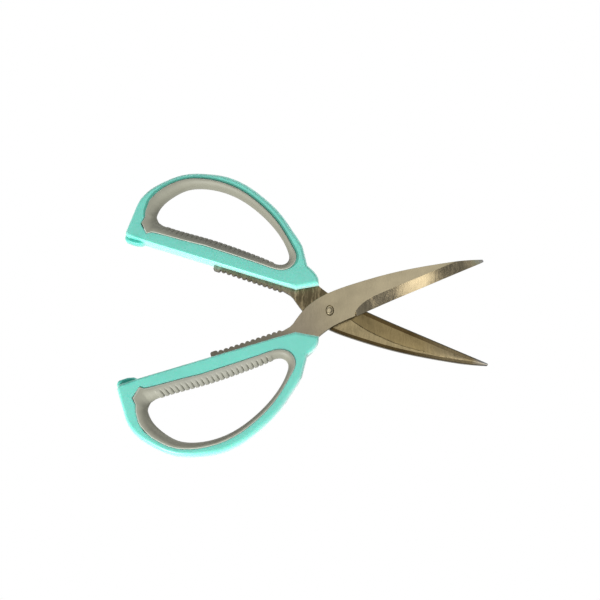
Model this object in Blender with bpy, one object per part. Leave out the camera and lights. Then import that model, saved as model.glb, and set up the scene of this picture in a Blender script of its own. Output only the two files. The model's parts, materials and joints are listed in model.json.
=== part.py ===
"""Household scissors with toothed tangs and soft finger loops, lying half open.

Sizes are in millimetres and degrees until a mesh is made. One half is drawn closed, with
the pivot at the origin, the tip towards +X, the finger loop on the -Y side and Z = 0 half
way between the two blades. The other half is the same set of meshes, turned half a turn
about the X axis. Both halves then open by REST_ANGLE about the pivot.
"""

import math

import bmesh
import bpy
import numpy as np
from mathutils import Matrix

MM = 0.001

# Pose and pivot
REST_ANGLE = 18.94
RIVET_RADIUS = 1.9
RIVET_HEAD_RADIUS = 2.4
RIVET_RIM = 0.15
RIVET_DOME = 0.12
RIVET_RING = (0.6, 0.7)
RIVET_GAP = 0.1
RIVET_SIDES = 40

# Blade plate, seen from the side: the length from the pivot to the tip, the blunt nose there,
# and the height of the back and of the cutting edge above and below the centre line
BLADE_THICKNESS = 2.5
BLADE_GAP = 0.2
BLADE_LENGTH = 85.4
TIP_NOSE = ((-0.2, -0.75), (0.0, -0.1), (-0.3, 0.5))
BACK_HEIGHTS = ((0.92, 2.2), (0.76, 4.87), (0.59, 7.13), (0.41, 8.75), (0.21, 9.45), (0.04, 9.1))
EDGE_DEPTHS = ((0.11, 7.15), (0.35, 5.2), (0.59, 3.55), (0.82, 2.0), (0.975, 1.0))
BACK_SHOULDER = ((-6.0, 7.4), (-12.2, 4.9), (-15.6, 2.8))
SHOULDER_SLOPE = ((-18.0, 1.1), (-20.2, -0.6), (-22.2, -1.6))
HEEL = ((-9.2, -10.9), (-3.3, -8.9))

# Ground bevel on the outer face and hollow grinding on the inner face
EDGE_THICKNESS = 0.35
BEVEL_WIDTH = 5.6
BEVEL_START = 11.5
BEVEL_RUNOUT = 14.0
BEVEL_STEPS = 6
BEVEL_LEAST = 0.02
HOLLOW_DEPTH = 0.3
HOLLOW_START = 10.5
HOLLOW_END = 73.0
HOLLOW_RUNOUT = 5.0
HOLLOW_STEPS = 16
HOLLOW_LEAST = 0.2
HOLLOW_FULLNESS = 4
HOLLOW_SHARES = (-0.06, 0.08, 0.25, 0.5, 0.75, 0.92, 1.06)
EDGE_LAND = 2.3
BACK_LAND = 1.7
RIDE_LINE = ((9.0, -0.3), (12.2, 0.76), (18.3, 2.6), (26.9, 4.05), (39.7, 5.0), (52.9, 4.35),
             (65.9, 3.0), (75.0, 1.7))

# Toothed tang between the handles
TOOTH_COUNT = 12
TOOTH_PITCH = 2.87
TOOTH_DEPTH = 0.95
TOOTH_FULLNESS = 0.8
TOOTH_FACETS = 6
TOOTH_LINE = 2.55
TOOTH_START = 26.8
NUB_LENGTH = 3.9
NUB_HEIGHT = 1.4
NUB_RADIUS = 1.1
TANG_SEAT = 3.4
TANG_FOOT = 1.2
TANG_FOOT_LENGTH = 3.6
TANG_ROOT = ((-31.0, -8.2), (-25.0, -12.4), (-17.5, -14.3), (-12.5, -12.9))
TANG_GAP = 0.3
PEG_PLACE = (-24.0, -9.1)
PEG_RADIUS = 1.7
PEG_SIDES = 20

# Handle shell: the wall towards the other half, and the nose round the tang
SHELL_THICKNESS = 10.0
SHELL_ROUND_WIDTH = 1.9
SHELL_ARC_ROUND = 2.5
SHELL_WALL_ROUND = 1.1
SHELL_ROUND_SHARE = 0.68
SHELL_ROUND_RUN = 9.0
SHELL_ROUND_STEEPNESS = 1.25
INNER_WALL = 5.77
INNER_WALL_TILT = 1.76
FRONT_CORNER = 20.4
NOSE_TIP = (-9.8, -11.1)
NOSE_LOBE = ((-10.9, -13.7), (-13.2, -16.0), (-16.2, -17.7), (-18.7, -18.7))
CORNER_SPARE = 0.8

# Stop lug at the back of the handle
LUG_TOP_GAP = 0.3
LUG_FRONT = 103.1
LUG_SUNK = 0.3
LUG_SHOULDER = 105.4
LUG_CREST_FRONT = 108.6
LUG_CREST_REAR = 113.9
LUG_SHOULDER_DROP = 0.8
LUG_THICKNESS = 5.8
LUG_ROUND = 1.2
LUG_ROOT = 4.0

# Finger opening: its size, and the widths of grip and shell round it
FINGER_LENGTH = 74.6
FINGER_DEPTH = 28.9
FINGER_FRONT = 29.2
FINGER_TOP = 14.7
GRIP_BAR = 5.0
GRIP_NOSE = 4.0
GRIP_NECK = 2.2
GRIP_ARC = 3.0
GRIP_HEEL = 4.2
GRIP_REAR = 5.8
GRIP_CORNER = 8.9
SHELL_NECK = 4.5
SHELL_ARC = 4.6
SHELL_HEEL = 3.45
SHELL_REAR = 5.45

# Points of the finger opening as shares of its length and depth from its front top corner,
# with the grip width and the shell width there; the first one is the pointed corner
FINGER_STATIONS = (
    (0.955, 0.026, GRIP_CORNER, SHELL_REAR),
    (0.920, 0.006, GRIP_BAR + 0.7, SHELL_REAR),
    (0.860, 0.000, GRIP_BAR + 0.3, SHELL_REAR),
    (0.740, 0.012, GRIP_BAR, SHELL_REAR),
    (0.547, 0.038, GRIP_BAR, SHELL_REAR),
    (0.279, 0.030, GRIP_BAR - 0.4, SHELL_NECK),
    (0.118, 0.005, GRIP_NOSE, SHELL_NECK),
    (0.056, 0.003, GRIP_NOSE - 0.2, SHELL_NECK),
    (0.015, 0.055, GRIP_NOSE, SHELL_NECK),
    (0.000, 0.152, GRIP_NOSE, SHELL_NECK),
    (0.022, 0.287, GRIP_NECK + 0.7, SHELL_NECK + 0.5),
    (0.098, 0.495, GRIP_NECK, SHELL_NECK + 0.1),
    (0.205, 0.690, GRIP_NECK + 0.3, SHELL_ARC),
    (0.334, 0.852, GRIP_ARC - 0.3, SHELL_ARC),
    (0.480, 0.969, GRIP_ARC, SHELL_ARC),
    (0.614, 1.000, GRIP_ARC + 0.2, SHELL_ARC - 0.1),
    (0.748, 0.952, GRIP_ARC + 0.5, SHELL_HEEL + 0.2),
    (0.862, 0.820, GRIP_HEEL, SHELL_HEEL),
    (0.942, 0.595, GRIP_REAR - 0.5, SHELL_HEEL + 0.2),
    (0.989, 0.370, GRIP_REAR, SHELL_REAR - 0.8),
    (1.000, 0.190, GRIP_REAR, SHELL_REAR),
    (0.996, 0.128, GRIP_REAR + 0.6, SHELL_REAR),
    (0.982, 0.081, GRIP_CORNER - 0.7, SHELL_REAR),
    (0.970, 0.050, GRIP_CORNER - 0.6, SHELL_REAR),
)
FRONT_STATION = 9
NECK_STATION = 10
REAR_STATION = 20

# Seam round the grip's pointed corner: distances along the opening from its first station, the
# points of the seam there, and the range in which these replace the grip widths above
CORNER_SEAM = (
    (-5.2, -109.05, -18.6),
    (-4.2, -108.55, -16.7),
    (-3.4, -108.15, -15.1),
    (-2.6, -108.8, -11.3),
    (-0.6, -103.95, -7.0),
    (0.4, -101.9, -8.45),
    (1.6, -99.5, -8.85),
    (6.0, -94.4, -9.2),
    (14.0, -86.3, -9.65),
    (20.0, -80.2, -10.1),
)
CORNER_RANGE = (-9.0, 27.0)
CORNER_SPACING = 0.6

# Grip section, and the ribs across its straight side
GRIP_PROUD = 0.4
GRIP_FLAT_SHARE = 0.45
GRIP_EDGE = 0.3
SEAM_GAP = 0.3
TONGUE_REACH = 1.0
TONGUE_THICKNESS = 2.4
TONGUE_TAPER = 0.8
RIB_COUNT = 23
RIB_PITCH = 2.69
RIB_WIDTH = 1.8
RIB_FLANK = 0.28
RIB_HEIGHT = 0.4
RIB_FRONT = 37.3
RIB_LEANS = ((-95.5, 22.0), (-66.0, 14.0), (-36.0, 9.0))
RIB_LEAN_FADE = 6.0

# How finely round shapes are faceted
FACET_TURN = 8.5
FACET_RUN = 4.0
SAMPLE_STEP = 0.25

BLADE_INNER = BLADE_GAP / 2
BLADE_OUTER = BLADE_INNER + BLADE_THICKNESS
GRIP_THICKNESS = SHELL_THICKNESS + 2 * GRIP_PROUD
OVERSHOOT = 1.0


def fit_spline(knots, values, closed):
    """Second derivatives of the smooth cubic curve through values at knots."""
    step = np.diff(knots)
    slope = np.diff(values, axis=0) / step[:, None]
    count = len(knots)
    matrix = np.zeros((count, count))
    right = np.zeros(values.shape)
    for i in range(1, count - 1):
        matrix[i, i - 1:i + 2] = step[i - 1], 2 * (step[i - 1] + step[i]), step[i]
        right[i] = 6 * (slope[i] - slope[i - 1])
    if closed:
        matrix[0, 0], matrix[0, -1] = 1, -1
        matrix[-1, :2] = 2 * step[0], step[0]
        matrix[-1, -2:] += step[-1], 2 * step[-1]
        right[-1] = 6 * (slope[0] - slope[-1])
    else:
        matrix[0, 0] = matrix[-1, -1] = 1
    return np.linalg.solve(matrix, right)


def read_spline(knots, values, bend, where):
    """Points of a fitted curve at the distances in where."""
    where = np.atleast_1d(where)
    index = np.clip(np.searchsorted(knots, where, side="right") - 1, 0, len(knots) - 2)
    step = (knots[index + 1] - knots[index])[:, None]
    after = (where - knots[index])[:, None] / step
    before = 1 - after
    curve = (before ** 3 - before) * bend[index] + (after ** 3 - after) * bend[index + 1]
    return before * values[index] + after * values[index + 1] + curve * step ** 2 / 6


def chord_knots(points):
    """Distance along the chords from the first point to each point."""
    return np.concatenate([[0], np.cumsum(np.linalg.norm(np.diff(points, axis=0), axis=1))])


def facet_places(points, places):
    """The places at which a densely sampled curve has turned or run far enough for a facet."""
    chords = np.diff(points, axis=0)
    heading = np.unwrap(np.arctan2(chords[:, 1], chords[:, 0]))
    kept = [0]
    for i in range(1, len(heading)):
        turned = abs(heading[i] - heading[kept[-1]])
        run = places[i] - places[kept[-1]]
        if turned > math.radians(FACET_TURN) or run > FACET_RUN:
            kept.append(i)
    if places[-1] - places[kept[-1]] < SAMPLE_STEP * 4:
        kept.pop()
    return np.append(places[kept], places[-1])


def smooth_run(points):
    """Facet points of the smooth open curve through points."""
    points = np.array(points, dtype=float)
    knots = chord_knots(points)
    bend = fit_spline(knots, points, closed=False)
    places = np.linspace(0, knots[-1], int(knots[-1] / SAMPLE_STEP) + 2)
    kept = facet_places(read_spline(knots, points, bend, places), places)
    return read_spline(knots, points, bend, kept)


def round_corner(before, corner, after, radius):
    """Arc of the radius that joins the two straight sides at a corner."""
    corner = np.array(corner, dtype=float)
    to_before = np.array(before, dtype=float) - corner
    to_after = np.array(after, dtype=float) - corner
    to_before /= np.linalg.norm(to_before)
    to_after /= np.linalg.norm(to_after)
    half = math.acos(float(np.clip(to_before @ to_after, -1, 1))) / 2
    middle = (to_before + to_after) / np.linalg.norm(to_before + to_after)
    centre = corner + middle * radius / math.sin(half)
    start = corner + to_before * radius / math.tan(half) - centre
    sweep = math.pi - 2 * half
    if start[1] * middle[0] - start[0] * middle[1] < 0:
        sweep = -sweep
    count = max(2, math.ceil(abs(math.degrees(sweep)) / (2 * FACET_TURN)))
    arc = []
    for i in range(count + 1):
        turn = sweep * i / count
        cosine, sine = math.cos(turn), math.sin(turn)
        arc.append(centre + (start[0] * cosine - start[1] * sine,
                             start[0] * sine + start[1] * cosine))
    return arc


def offset_path(points, distance, closed):
    """Path moved to its right by distance, with mitred corners."""
    points = np.array(points, dtype=float)
    if closed:
        before = points - np.roll(points, 1, axis=0)
        after = np.roll(points, -1, axis=0) - points
    else:
        chords = np.diff(points, axis=0)
        before = np.vstack([chords[:1], chords])
        after = np.vstack([chords, chords[-1:]])
    before /= np.linalg.norm(before, axis=1)[:, None]
    after /= np.linalg.norm(after, axis=1)[:, None]
    normal_before = np.stack([before[:, 1], -before[:, 0]], axis=1)
    normal_after = np.stack([after[:, 1], -after[:, 0]], axis=1)
    mitre = normal_before + normal_after
    mitre /= (1 + np.sum(normal_before * normal_after, axis=1))[:, None]
    return points + mitre * distance


def new_mesh(name, build):
    """Mesh made by build(bm) in millimetres, stored in metres with its faces pointing out."""
    bm = bmesh.new()
    build(bm)
    bmesh.ops.recalc_face_normals(bm, faces=bm.faces)
    bmesh.ops.scale(bm, vec=(MM, MM, MM), verts=bm.verts)
    mesh = bpy.data.meshes.new(name)
    bm.to_mesh(mesh)
    bm.free()
    return mesh


def stack_loops(bm, loops):
    """Closed body through equal-length loops of points, capped at both ends."""
    rings = [[bm.verts.new(point) for point in loop] for loop in loops]
    for lower, upper in zip(rings, rings[1:]):
        for i in range(len(lower)):
            j = (i + 1) % len(lower)
            bm.faces.new((lower[i], lower[j], upper[j], upper[i]))
    bm.faces.new(reversed(rings[0]))
    bm.faces.new(rings[-1])


def stack_ring(bm, loops):
    """Closed ring through equal-length loops, the last one joined to the first."""
    rings = [[bm.verts.new(point) for point in loop] for loop in loops]
    for ring, following in zip(rings, rings[1:] + rings[:1]):
        for i in range(len(ring)):
            j = (i + 1) % len(ring)
            bm.faces.new((ring[i], ring[j], following[j], following[i]))


def plate(name, outline, low, high):
    """Flat plate with the given outline between two heights."""
    loops = [[(x, y, z) for x, y in outline] for z in (low, high)]
    return new_mesh(name, lambda bm: stack_loops(bm, loops))


def rounded_plate(name, outline, thickness, widths, steepness):
    """Plate about Z = 0 with rounded top and bottom edges, as wide as widths says at each point."""
    widths = np.array(widths, dtype=float)
    levels = []
    for degrees in (90, 60, 30, 0):
        angle = math.radians(degrees)
        inner = offset_path(outline, -widths[:, None] * (1 - math.cos(angle)), closed=True)
        height = thickness / 2 - widths * steepness * (1 - math.sin(angle))
        levels.append(np.column_stack([inner, height]))
    loops = [level * (1, 1, -1) for level in levels] + levels[::-1]
    return new_mesh(name, lambda bm: stack_loops(bm, loops))


def turned(name, profile, sides):
    """Body turned about the Z axis; the profile runs from the lower to the upper pole."""
    def build(bm):
        low = bm.verts.new((0, 0, profile[0][1]))
        high = bm.verts.new((0, 0, profile[-1][1]))
        rings = []
        for radius, height in profile[1:-1]:
            angles = [2 * math.pi * i / sides for i in range(sides)]
            ring = [(radius * math.cos(a), radius * math.sin(a), height) for a in angles]
            rings.append([bm.verts.new(point) for point in ring])
        for i in range(sides):
            j = (i + 1) % sides
            bm.faces.new((low, rings[0][j], rings[0][i]))
            bm.faces.new((high, rings[-1][i], rings[-1][j]))
            for lower, upper in zip(rings, rings[1:]):
                bm.faces.new((lower[i], lower[j], upper[j], upper[i]))
    return new_mesh(name, build)


def combine(base, operation, *tools):
    """Mesh of base after cutting it with, or joining it to, each tool mesh in turn."""
    for tool in tools:
        subject = bpy.data.objects.new("subject", base)
        other = bpy.data.objects.new("other", tool)
        for item in (subject, other):
            bpy.context.scene.collection.objects.link(item)
        boolean = subject.modifiers.new(operation, "BOOLEAN")
        boolean.operation = operation
        boolean.solver = "EXACT"
        boolean.object = other
        graph = bpy.context.evaluated_depsgraph_get()
        result = bpy.data.meshes.new_from_object(subject.evaluated_get(graph))
        result.name = base.name
        bpy.data.objects.remove(subject)
        bpy.data.objects.remove(other)
        bpy.data.meshes.remove(tool)
        bpy.data.meshes.remove(base)
        base = result
    return base


def wall_y(x):
    """Height of the shell's straight wall that faces the other half."""
    return -INNER_WALL - x * math.tan(math.radians(INNER_WALL_TILT))


def back_line():
    """Back of the blade from the tip to the corner of its shoulder."""
    tip = (BLADE_LENGTH + TIP_NOSE[-1][0], TIP_NOSE[-1][1])
    taper = [(share * BLADE_LENGTH, height) for share, height in BACK_HEIGHTS]
    return smooth_run([tip] + taper + list(BACK_SHOULDER))


def edge_line():
    """Cutting edge and the blunt heel behind it, from the handle to the tip."""
    taper = [(share * BLADE_LENGTH, -depth) for share, depth in EDGE_DEPTHS]
    return smooth_run(list(HEEL) + taper)


def tooth_line():
    """Rounded teeth of the tang, from the shoulder towards the handle's rear."""
    points = []
    for tooth in range(TOOTH_COUNT):
        for facet in range(TOOTH_FACETS):
            share = facet / TOOTH_FACETS
            height = TOOTH_DEPTH * math.sin(math.pi * share) ** TOOTH_FULLNESS
            points.append((-TOOTH_START - (tooth + share) * TOOTH_PITCH, height - TOOTH_LINE))
    return points


def tang_end():
    """Distance from the pivot to the rear end of the tang."""
    return TOOTH_START + TOOTH_COUNT * TOOTH_PITCH + NUB_LENGTH


def nub_line():
    """Raised round end of the toothed strip."""
    front = tang_end() - NUB_LENGTH
    top = NUB_HEIGHT - TOOTH_LINE
    root = (-front, -TOOTH_LINE)
    front_top = (-front, top)
    rear_top = (-tang_end(), top)
    foot = (-tang_end(), -TOOTH_LINE)
    return [root] + round_corner(root, front_top, rear_top, NUB_RADIUS) \
        + round_corner(front_top, rear_top, foot, NUB_RADIUS)


def seat_line():
    """Edge of the tang that is buried in the shell, from its rear end to the heel."""
    end = -tang_end()
    step = end + TANG_FOOT_LENGTH
    return [
        (end, wall_y(end) - TANG_SEAT - TANG_FOOT),
        (step, wall_y(step) - TANG_SEAT - TANG_FOOT),
        (step, wall_y(step) - TANG_SEAT),
        *TANG_ROOT,
    ]


def blade_outline():
    """Whole outline of blade and tang, anticlockwise."""
    nose = [(BLADE_LENGTH + x, y) for x, y in TIP_NOSE[:-1]]
    outline = [tuple(point) for point in edge_line()] + nose
    outline += [tuple(point) for point in back_line()]
    outline += list(SHOULDER_SLOPE) + tooth_line() + nub_line() + seat_line()
    return outline


def bevel_cutter():
    """Metal ground off the outer face along the cutting edge, run out in a curve at the heel."""
    edge = edge_line()
    rise = BLADE_THICKNESS - EDGE_THICKNESS
    runout = [BEVEL_START + BEVEL_RUNOUT * (i / BEVEL_STEPS) ** 2 for i in range(BEVEL_STEPS + 1)]
    straight = [x for x in edge[:, 0] if x > runout[-1] + FACET_RUN / 2]
    loops = []
    for x in runout + straight + [BLADE_LENGTH + OVERSHOOT]:
        share = min(1, (x - BEVEL_START) / BEVEL_RUNOUT)
        width = max(BEVEL_LEAST, BEVEL_WIDTH * math.sqrt(1 - (1 - share) ** 2))
        y = np.interp(x, edge[:, 0], edge[:, 1])
        slope = math.hypot(width, rise)
        along = (width / slope * OVERSHOOT, rise / slope * OVERSHOOT)
        start = (y - along[0], BLADE_INNER + EDGE_THICKNESS - along[1])
        end = (y + width + along[0], BLADE_OUTER + along[1])
        side = y - 2 * OVERSHOOT
        loops.append([(x, side, start[1]), (x, *start), (x, *end), (x, side, end[1])])
    return new_mesh("bevel", lambda bm: stack_loops(bm, loops))


def hollow_cutter():
    """Shallow hollow in the inner face between two flat lands and the ride round the pivot."""
    edge = edge_line()
    back = back_line()[::-1]
    ride = smooth_run(RIDE_LINE)
    loops = []
    for x in np.linspace(HOLLOW_START, HOLLOW_END, HOLLOW_STEPS):
        low = np.interp(x, edge[:, 0], edge[:, 1]) + EDGE_LAND
        high = min(np.interp(x, back[:, 0], back[:, 1]) - BACK_LAND,
                   np.interp(x, ride[:, 0], ride[:, 1]))
        share = min(1, (x - HOLLOW_START) / HOLLOW_RUNOUT, (HOLLOW_END - x) / HOLLOW_RUNOUT)
        depth = HOLLOW_DEPTH * max(HOLLOW_LEAST, math.sqrt(share))
        loop = []
        for part in HOLLOW_SHARES:
            height = depth * (1 - abs(2 * part - 1) ** HOLLOW_FULLNESS)
            loop.append((x, low + (high - low) * part, BLADE_INNER + height))
        loop.append((x, high, BLADE_INNER - OVERSHOOT))
        loop.append((x, low, BLADE_INNER - OVERSHOOT))
        loops.append(loop)
    return new_mesh("hollow", lambda bm: stack_loops(bm, loops))


def rivet_profile(grow, overshoot):
    """Half section of the rivet grown by grow, with its flat ends overshoot past the blade."""
    cone = RIVET_HEAD_RADIUS - RIVET_RADIUS
    head = BLADE_OUTER - RIVET_RIM
    upper = [
        (RIVET_RADIUS + grow, head - cone),
        (RIVET_HEAD_RADIUS + grow, head),
        (RIVET_HEAD_RADIUS + grow, BLADE_OUTER + overshoot),
    ]
    return [(radius, -height) for radius, height in upper[::-1]] + upper


def rivet_mesh():
    """Rivet flush with both blades, its two heads slightly domed."""
    body = rivet_profile(0, 0)
    top = BLADE_OUTER + RIVET_DOME
    ring = (RIVET_HEAD_RADIUS * RIVET_RING[0], BLADE_OUTER + RIVET_DOME * RIVET_RING[1])
    profile = [(0, -top), (ring[0], -ring[1])] + body + [ring, (0, top)]
    return turned("pivot_rivet", profile, RIVET_SIDES)


def rivet_cutter():
    """Countersunk pivot hole of a blade."""
    body = rivet_profile(RIVET_GAP, OVERSHOOT)
    profile = [(0, body[0][1])] + body + [(0, body[-1][1])]
    return turned("rivet_hole", profile, RIVET_SIDES)


def round_bar(name, place, radius, low, high):
    """Upright round bar."""
    angles = [2 * math.pi * i / PEG_SIDES for i in range(PEG_SIDES)]
    outline = [(place[0] + radius * math.cos(a), place[1] + radius * math.sin(a)) for a in angles]
    return plate(name, outline, low, high)


def blade_mesh():
    """Blade and toothed tang in one plate."""
    body = plate("blade", blade_outline(), BLADE_INNER, BLADE_OUTER)
    peg_hole = round_bar("peg_hole", PEG_PLACE, PEG_RADIUS + TANG_GAP,
                         BLADE_INNER - OVERSHOOT, BLADE_OUTER + OVERSHOOT)
    return combine(body, "DIFFERENCE", bevel_cutter(), hollow_cutter(), rivet_cutter(), peg_hole)


class FingerLoop:
    """Finger opening, with the rays that carry grip and shell outwards from it."""

    def __init__(self):
        table = np.array(FINGER_STATIONS + FINGER_STATIONS[:1], dtype=float)
        self.points = np.stack([-FINGER_FRONT - table[:, 0] * FINGER_LENGTH,
                                -FINGER_TOP - table[:, 1] * FINGER_DEPTH], axis=1)
        self.widths = table[:, 2:]
        self.knots = chord_knots(self.points)
        self.length = self.knots[-1]
        self.point_bend = fit_spline(self.knots, self.points, closed=True)
        self.width_bend = fit_spline(self.knots, self.widths, closed=False)
        corner = list(CORNER_SEAM)
        for place in CORNER_RANGE:
            point, outward, grip, _ = self.square(place)
            corner.append((place, *(point + outward * grip)))
        self.corner = np.array(sorted(corner)).T

    def square(self, place):
        """Point of the opening, direction square to it, grip width and shell width there."""
        place %= self.length
        point = read_spline(self.knots, self.points, self.point_bend, place)[0]
        nearby = (place + SAMPLE_STEP) % self.length, (place - SAMPLE_STEP) % self.length
        ahead, behind = (read_spline(self.knots, self.points, self.point_bend, p)[0] for p in nearby)
        tangent = (ahead - behind) / np.linalg.norm(ahead - behind)
        grip, shell = read_spline(self.knots, self.widths, self.width_bend, place)[0]
        return point, np.array([-tangent[1], tangent[0]]), grip, shell

    def at(self, place):
        """Point of the opening, direction to the seam, grip width and shell width there."""
        point, outward, grip, shell = self.square(place)
        turned = (place + self.length / 2) % self.length - self.length / 2
        if not CORNER_RANGE[0] < turned < CORNER_RANGE[1]:
            return point, outward, grip, shell
        seam = np.array([np.interp(turned, self.corner[0], line) for line in self.corner[1:]])
        grip = np.linalg.norm(seam - point)
        return point, (seam - point) / grip, grip, shell

    def places(self):
        """Distances at which the opening gets a facet corner."""
        dense = np.linspace(0, self.length, int(self.length / SAMPLE_STEP))
        points = read_spline(self.knots, self.points, self.point_bend, dense)
        corner = self.corner[0] % self.length
        clear = [place for place in facet_places(points, dense)[:-1]
                 if min(abs(corner - place)) > CORNER_SPACING]
        return sorted(clear + list(corner))

    def place_of_x(self, x):
        """Distance of the point of the straight side that lies at x."""
        dense = np.linspace(0, self.knots[FRONT_STATION], 400)
        points = read_spline(self.knots, self.points, self.point_bend, dense)
        return float(np.interp(x, points[:, 0], dense))

    def reach(self, place, beyond):
        """Point at the seam between grip and shell, or beyond it by a distance."""
        point, outward, grip, _ = self.at(place)
        return point + outward * (grip + beyond)

    def outer(self, place):
        """Point of the shell's outer wall."""
        point, outward, grip, shell = self.square(place)
        return point + outward * (grip + shell)


def shell_outline(loop):
    """Outline of the handle shell, anticlockwise, without the stop lug, and its edge rounding."""
    start, end = loop.knots[NECK_STATION], loop.knots[REAR_STATION]
    between = [place for place in loop.places() if start + FACET_RUN / 2 < place < end]
    places = [start] + between + [end]
    sweep = [loop.outer(place) for place in places]
    swept = []
    for place in places:
        share = min(1, (place - start) / SHELL_ROUND_RUN, (end - place) / SHELL_ROUND_RUN)
        widest = min(SHELL_ARC_ROUND, loop.at(place)[3] * SHELL_ROUND_SHARE)
        swept.append(SHELL_ROUND_WIDTH + (widest - SHELL_ROUND_WIDTH) * share)
    rear = sweep[-1][0]
    lobe = smooth_run([NOSE_TIP] + list(NOSE_LOBE))
    front_corner = (-FRONT_CORNER, wall_y(-FRONT_CORNER))
    rear_corner = (rear, wall_y(rear))
    corner = round_corner(sweep[-1], rear_corner, front_corner, SHELL_ROUND_WIDTH + CORNER_SPARE)
    straight = [corner[-1][0] + SHELL_ROUND_RUN, -FRONT_CORNER - SHELL_ROUND_RUN]
    wall = [(x, wall_y(x)) for x in straight]
    outline = list(lobe) + sweep + corner + wall + [front_corner]
    widths = [SHELL_ROUND_WIDTH] * len(lobe) + swept + [SHELL_ROUND_WIDTH] * len(corner)
    widths += [SHELL_WALL_ROUND] * len(wall) + [SHELL_ROUND_WIDTH]
    return [tuple(point) for point in outline[::-1]], widths[::-1]


def lug_outline(rear):
    """Outline of the stop lug, from inside the shell up to its crest."""
    crest = -LUG_TOP_GAP / 2
    root = wall_y(rear) - LUG_ROOT
    side = rear + TANG_GAP
    corners = [
        (side, root),
        (-LUG_FRONT, root),
        (-LUG_FRONT, wall_y(-LUG_FRONT) - LUG_SUNK),
        (-LUG_SHOULDER, crest - LUG_SHOULDER_DROP),
        (-LUG_CREST_FRONT, crest),
    ]
    top = (-LUG_CREST_REAR, crest)
    base = (side, wall_y(rear))
    return corners + round_corner(corners[-1], top, base, LUG_ROUND + CORNER_SPARE) + [base]


def seam_cutter(loop):
    """Opening of the shell that the grip fills, with the groove for the grip's tongue."""
    half = SHELL_THICKNESS / 2 + OVERSHOOT
    groove = TONGUE_THICKNESS / 2 + SEAM_GAP
    reach = TONGUE_REACH + SEAM_GAP
    places = loop.places()
    loops = []
    for height, beyond in ((-half, 0), (-groove, 0), (-groove, reach), (groove, reach),
                           (groove, 0), (half, 0)):
        loops.append([(*loop.reach(place, beyond), height) for place in places])
    return new_mesh("seam", lambda bm: stack_loops(bm, loops))


def tang_cutter():
    """Pocket of the shell round the buried edge of the tang, open to the other half."""
    seat = [(-tang_end(), OVERSHOOT)] + seat_line() + list(HEEL)
    path = [tuple(point) for point in offset_path(seat, TANG_GAP, closed=False)]
    path.append((path[-1][0], OVERSHOOT))
    return plate("tang_pocket", path, BLADE_INNER - TANG_GAP, BLADE_OUTER + TANG_GAP)


def shell_mesh(loop):
    """Moulded handle shell with its stop lug, tang pocket and grip opening."""
    outline, widths = shell_outline(loop)
    body = rounded_plate("shell", outline, SHELL_THICKNESS, widths, SHELL_ROUND_STEEPNESS)
    outline = lug_outline(min(point[0] for point in outline))
    lug = rounded_plate("lug", outline, LUG_THICKNESS, [LUG_ROUND] * len(outline), 1)
    body = combine(body, "UNION", lug)
    body = combine(body, "DIFFERENCE", seam_cutter(loop), tang_cutter())
    peg = round_bar("peg", PEG_PLACE, PEG_RADIUS, BLADE_INNER - TANG_GAP - OVERSHOOT,
                    BLADE_OUTER + TANG_GAP + OVERSHOOT)
    return combine(body, "UNION", peg)


def grip_section(loop, place, rib, lean):
    """Section of the grip at a distance round the opening.

    Its round side is raised by rib and leans along the opening by the slope in lean.
    """
    point, outward, grip, _ = loop.at(place)
    wall = grip - SEAM_GAP
    round_width = wall * (1 - GRIP_FLAT_SHARE)
    half = GRIP_THICKNESS / 2
    tongue = TONGUE_THICKNESS / 2
    tip = wall + TONGUE_REACH
    section = []
    for degrees in range(-90, 91, 30):
        angle = math.radians(degrees)
        lift = rib if abs(degrees) < 90 else 0
        leant, leant_outward, _, _ = loop.at(place + lean * round_width * math.cos(angle))
        across = round_width * (1 - math.cos(angle)) - lift * math.cos(angle)
        height = half * math.sin(angle) + lift * math.sin(angle)
        section.append((*(leant + leant_outward * across), height))
    rest = [(wall - GRIP_EDGE, half), (wall, half - GRIP_EDGE), (wall, tongue)]
    rest += [(tip, tongue * TONGUE_TAPER), (tip, -tongue * TONGUE_TAPER)]
    rest += [(wall, -tongue), (wall, GRIP_EDGE - half), (wall - GRIP_EDGE, -half)]
    return section + [(*(point + outward * across), height) for across, height in rest]


def grip_stations(loop):
    """Distances round the opening with the height of the ribs and their lean there."""
    stations = []
    for number in range(RIB_COUNT):
        middle = -RIB_FRONT - number * RIB_PITCH
        for side in (-1, 1):
            for half_width, height in ((RIB_WIDTH / 2 + RIB_FLANK, 0), (RIB_WIDTH / 2, RIB_HEIGHT)):
                stations.append((loop.place_of_x(middle + side * half_width), height))
    first = min(place for place, _ in stations)
    last = max(place for place, _ in stations)
    spare = RIB_PITCH / 2
    others = [place for place in loop.places() if not first - spare < place < last + spare]
    stations += [(place, 0) for place in others]
    leaning = []
    for place, height in sorted(stations):
        outside = max(0, first - place, place - last)
        angle = np.interp(loop.at(place)[0][0], *zip(*RIB_LEANS))
        slope = math.tan(math.radians(angle)) * max(0, 1 - outside / RIB_LEAN_FADE)
        leaning.append((place, height, slope))
    return leaning


def grip_mesh(loop):
    """Soft ring that lines the finger opening."""
    loops = [grip_section(loop, *station) for station in grip_stations(loop)]
    return new_mesh("grip", lambda bm: stack_ring(bm, loops))


def material(name, color, roughness, metallic):
    """Principled material."""
    result = bpy.data.materials.new(name)
    result.use_nodes = True
    shader = result.node_tree.nodes["Principled BSDF"]
    shader.inputs["Base Color"].default_value = (*color, 1)
    shader.inputs["Roughness"].default_value = roughness
    shader.inputs["Metallic"].default_value = metallic
    return result


def add_piece(name, mesh, look, matrix):
    """Object of a mesh that turns about the pivot, smooth except at its sharp edges."""
    if not mesh.materials:
        mesh.materials.append(look)
        mesh.shade_smooth()
        mesh.set_sharp_from_angle(angle=math.radians(32))
    item = bpy.data.objects.new(name, mesh)
    bpy.context.scene.collection.objects.link(item)
    item.matrix_world = matrix
    return item


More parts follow.
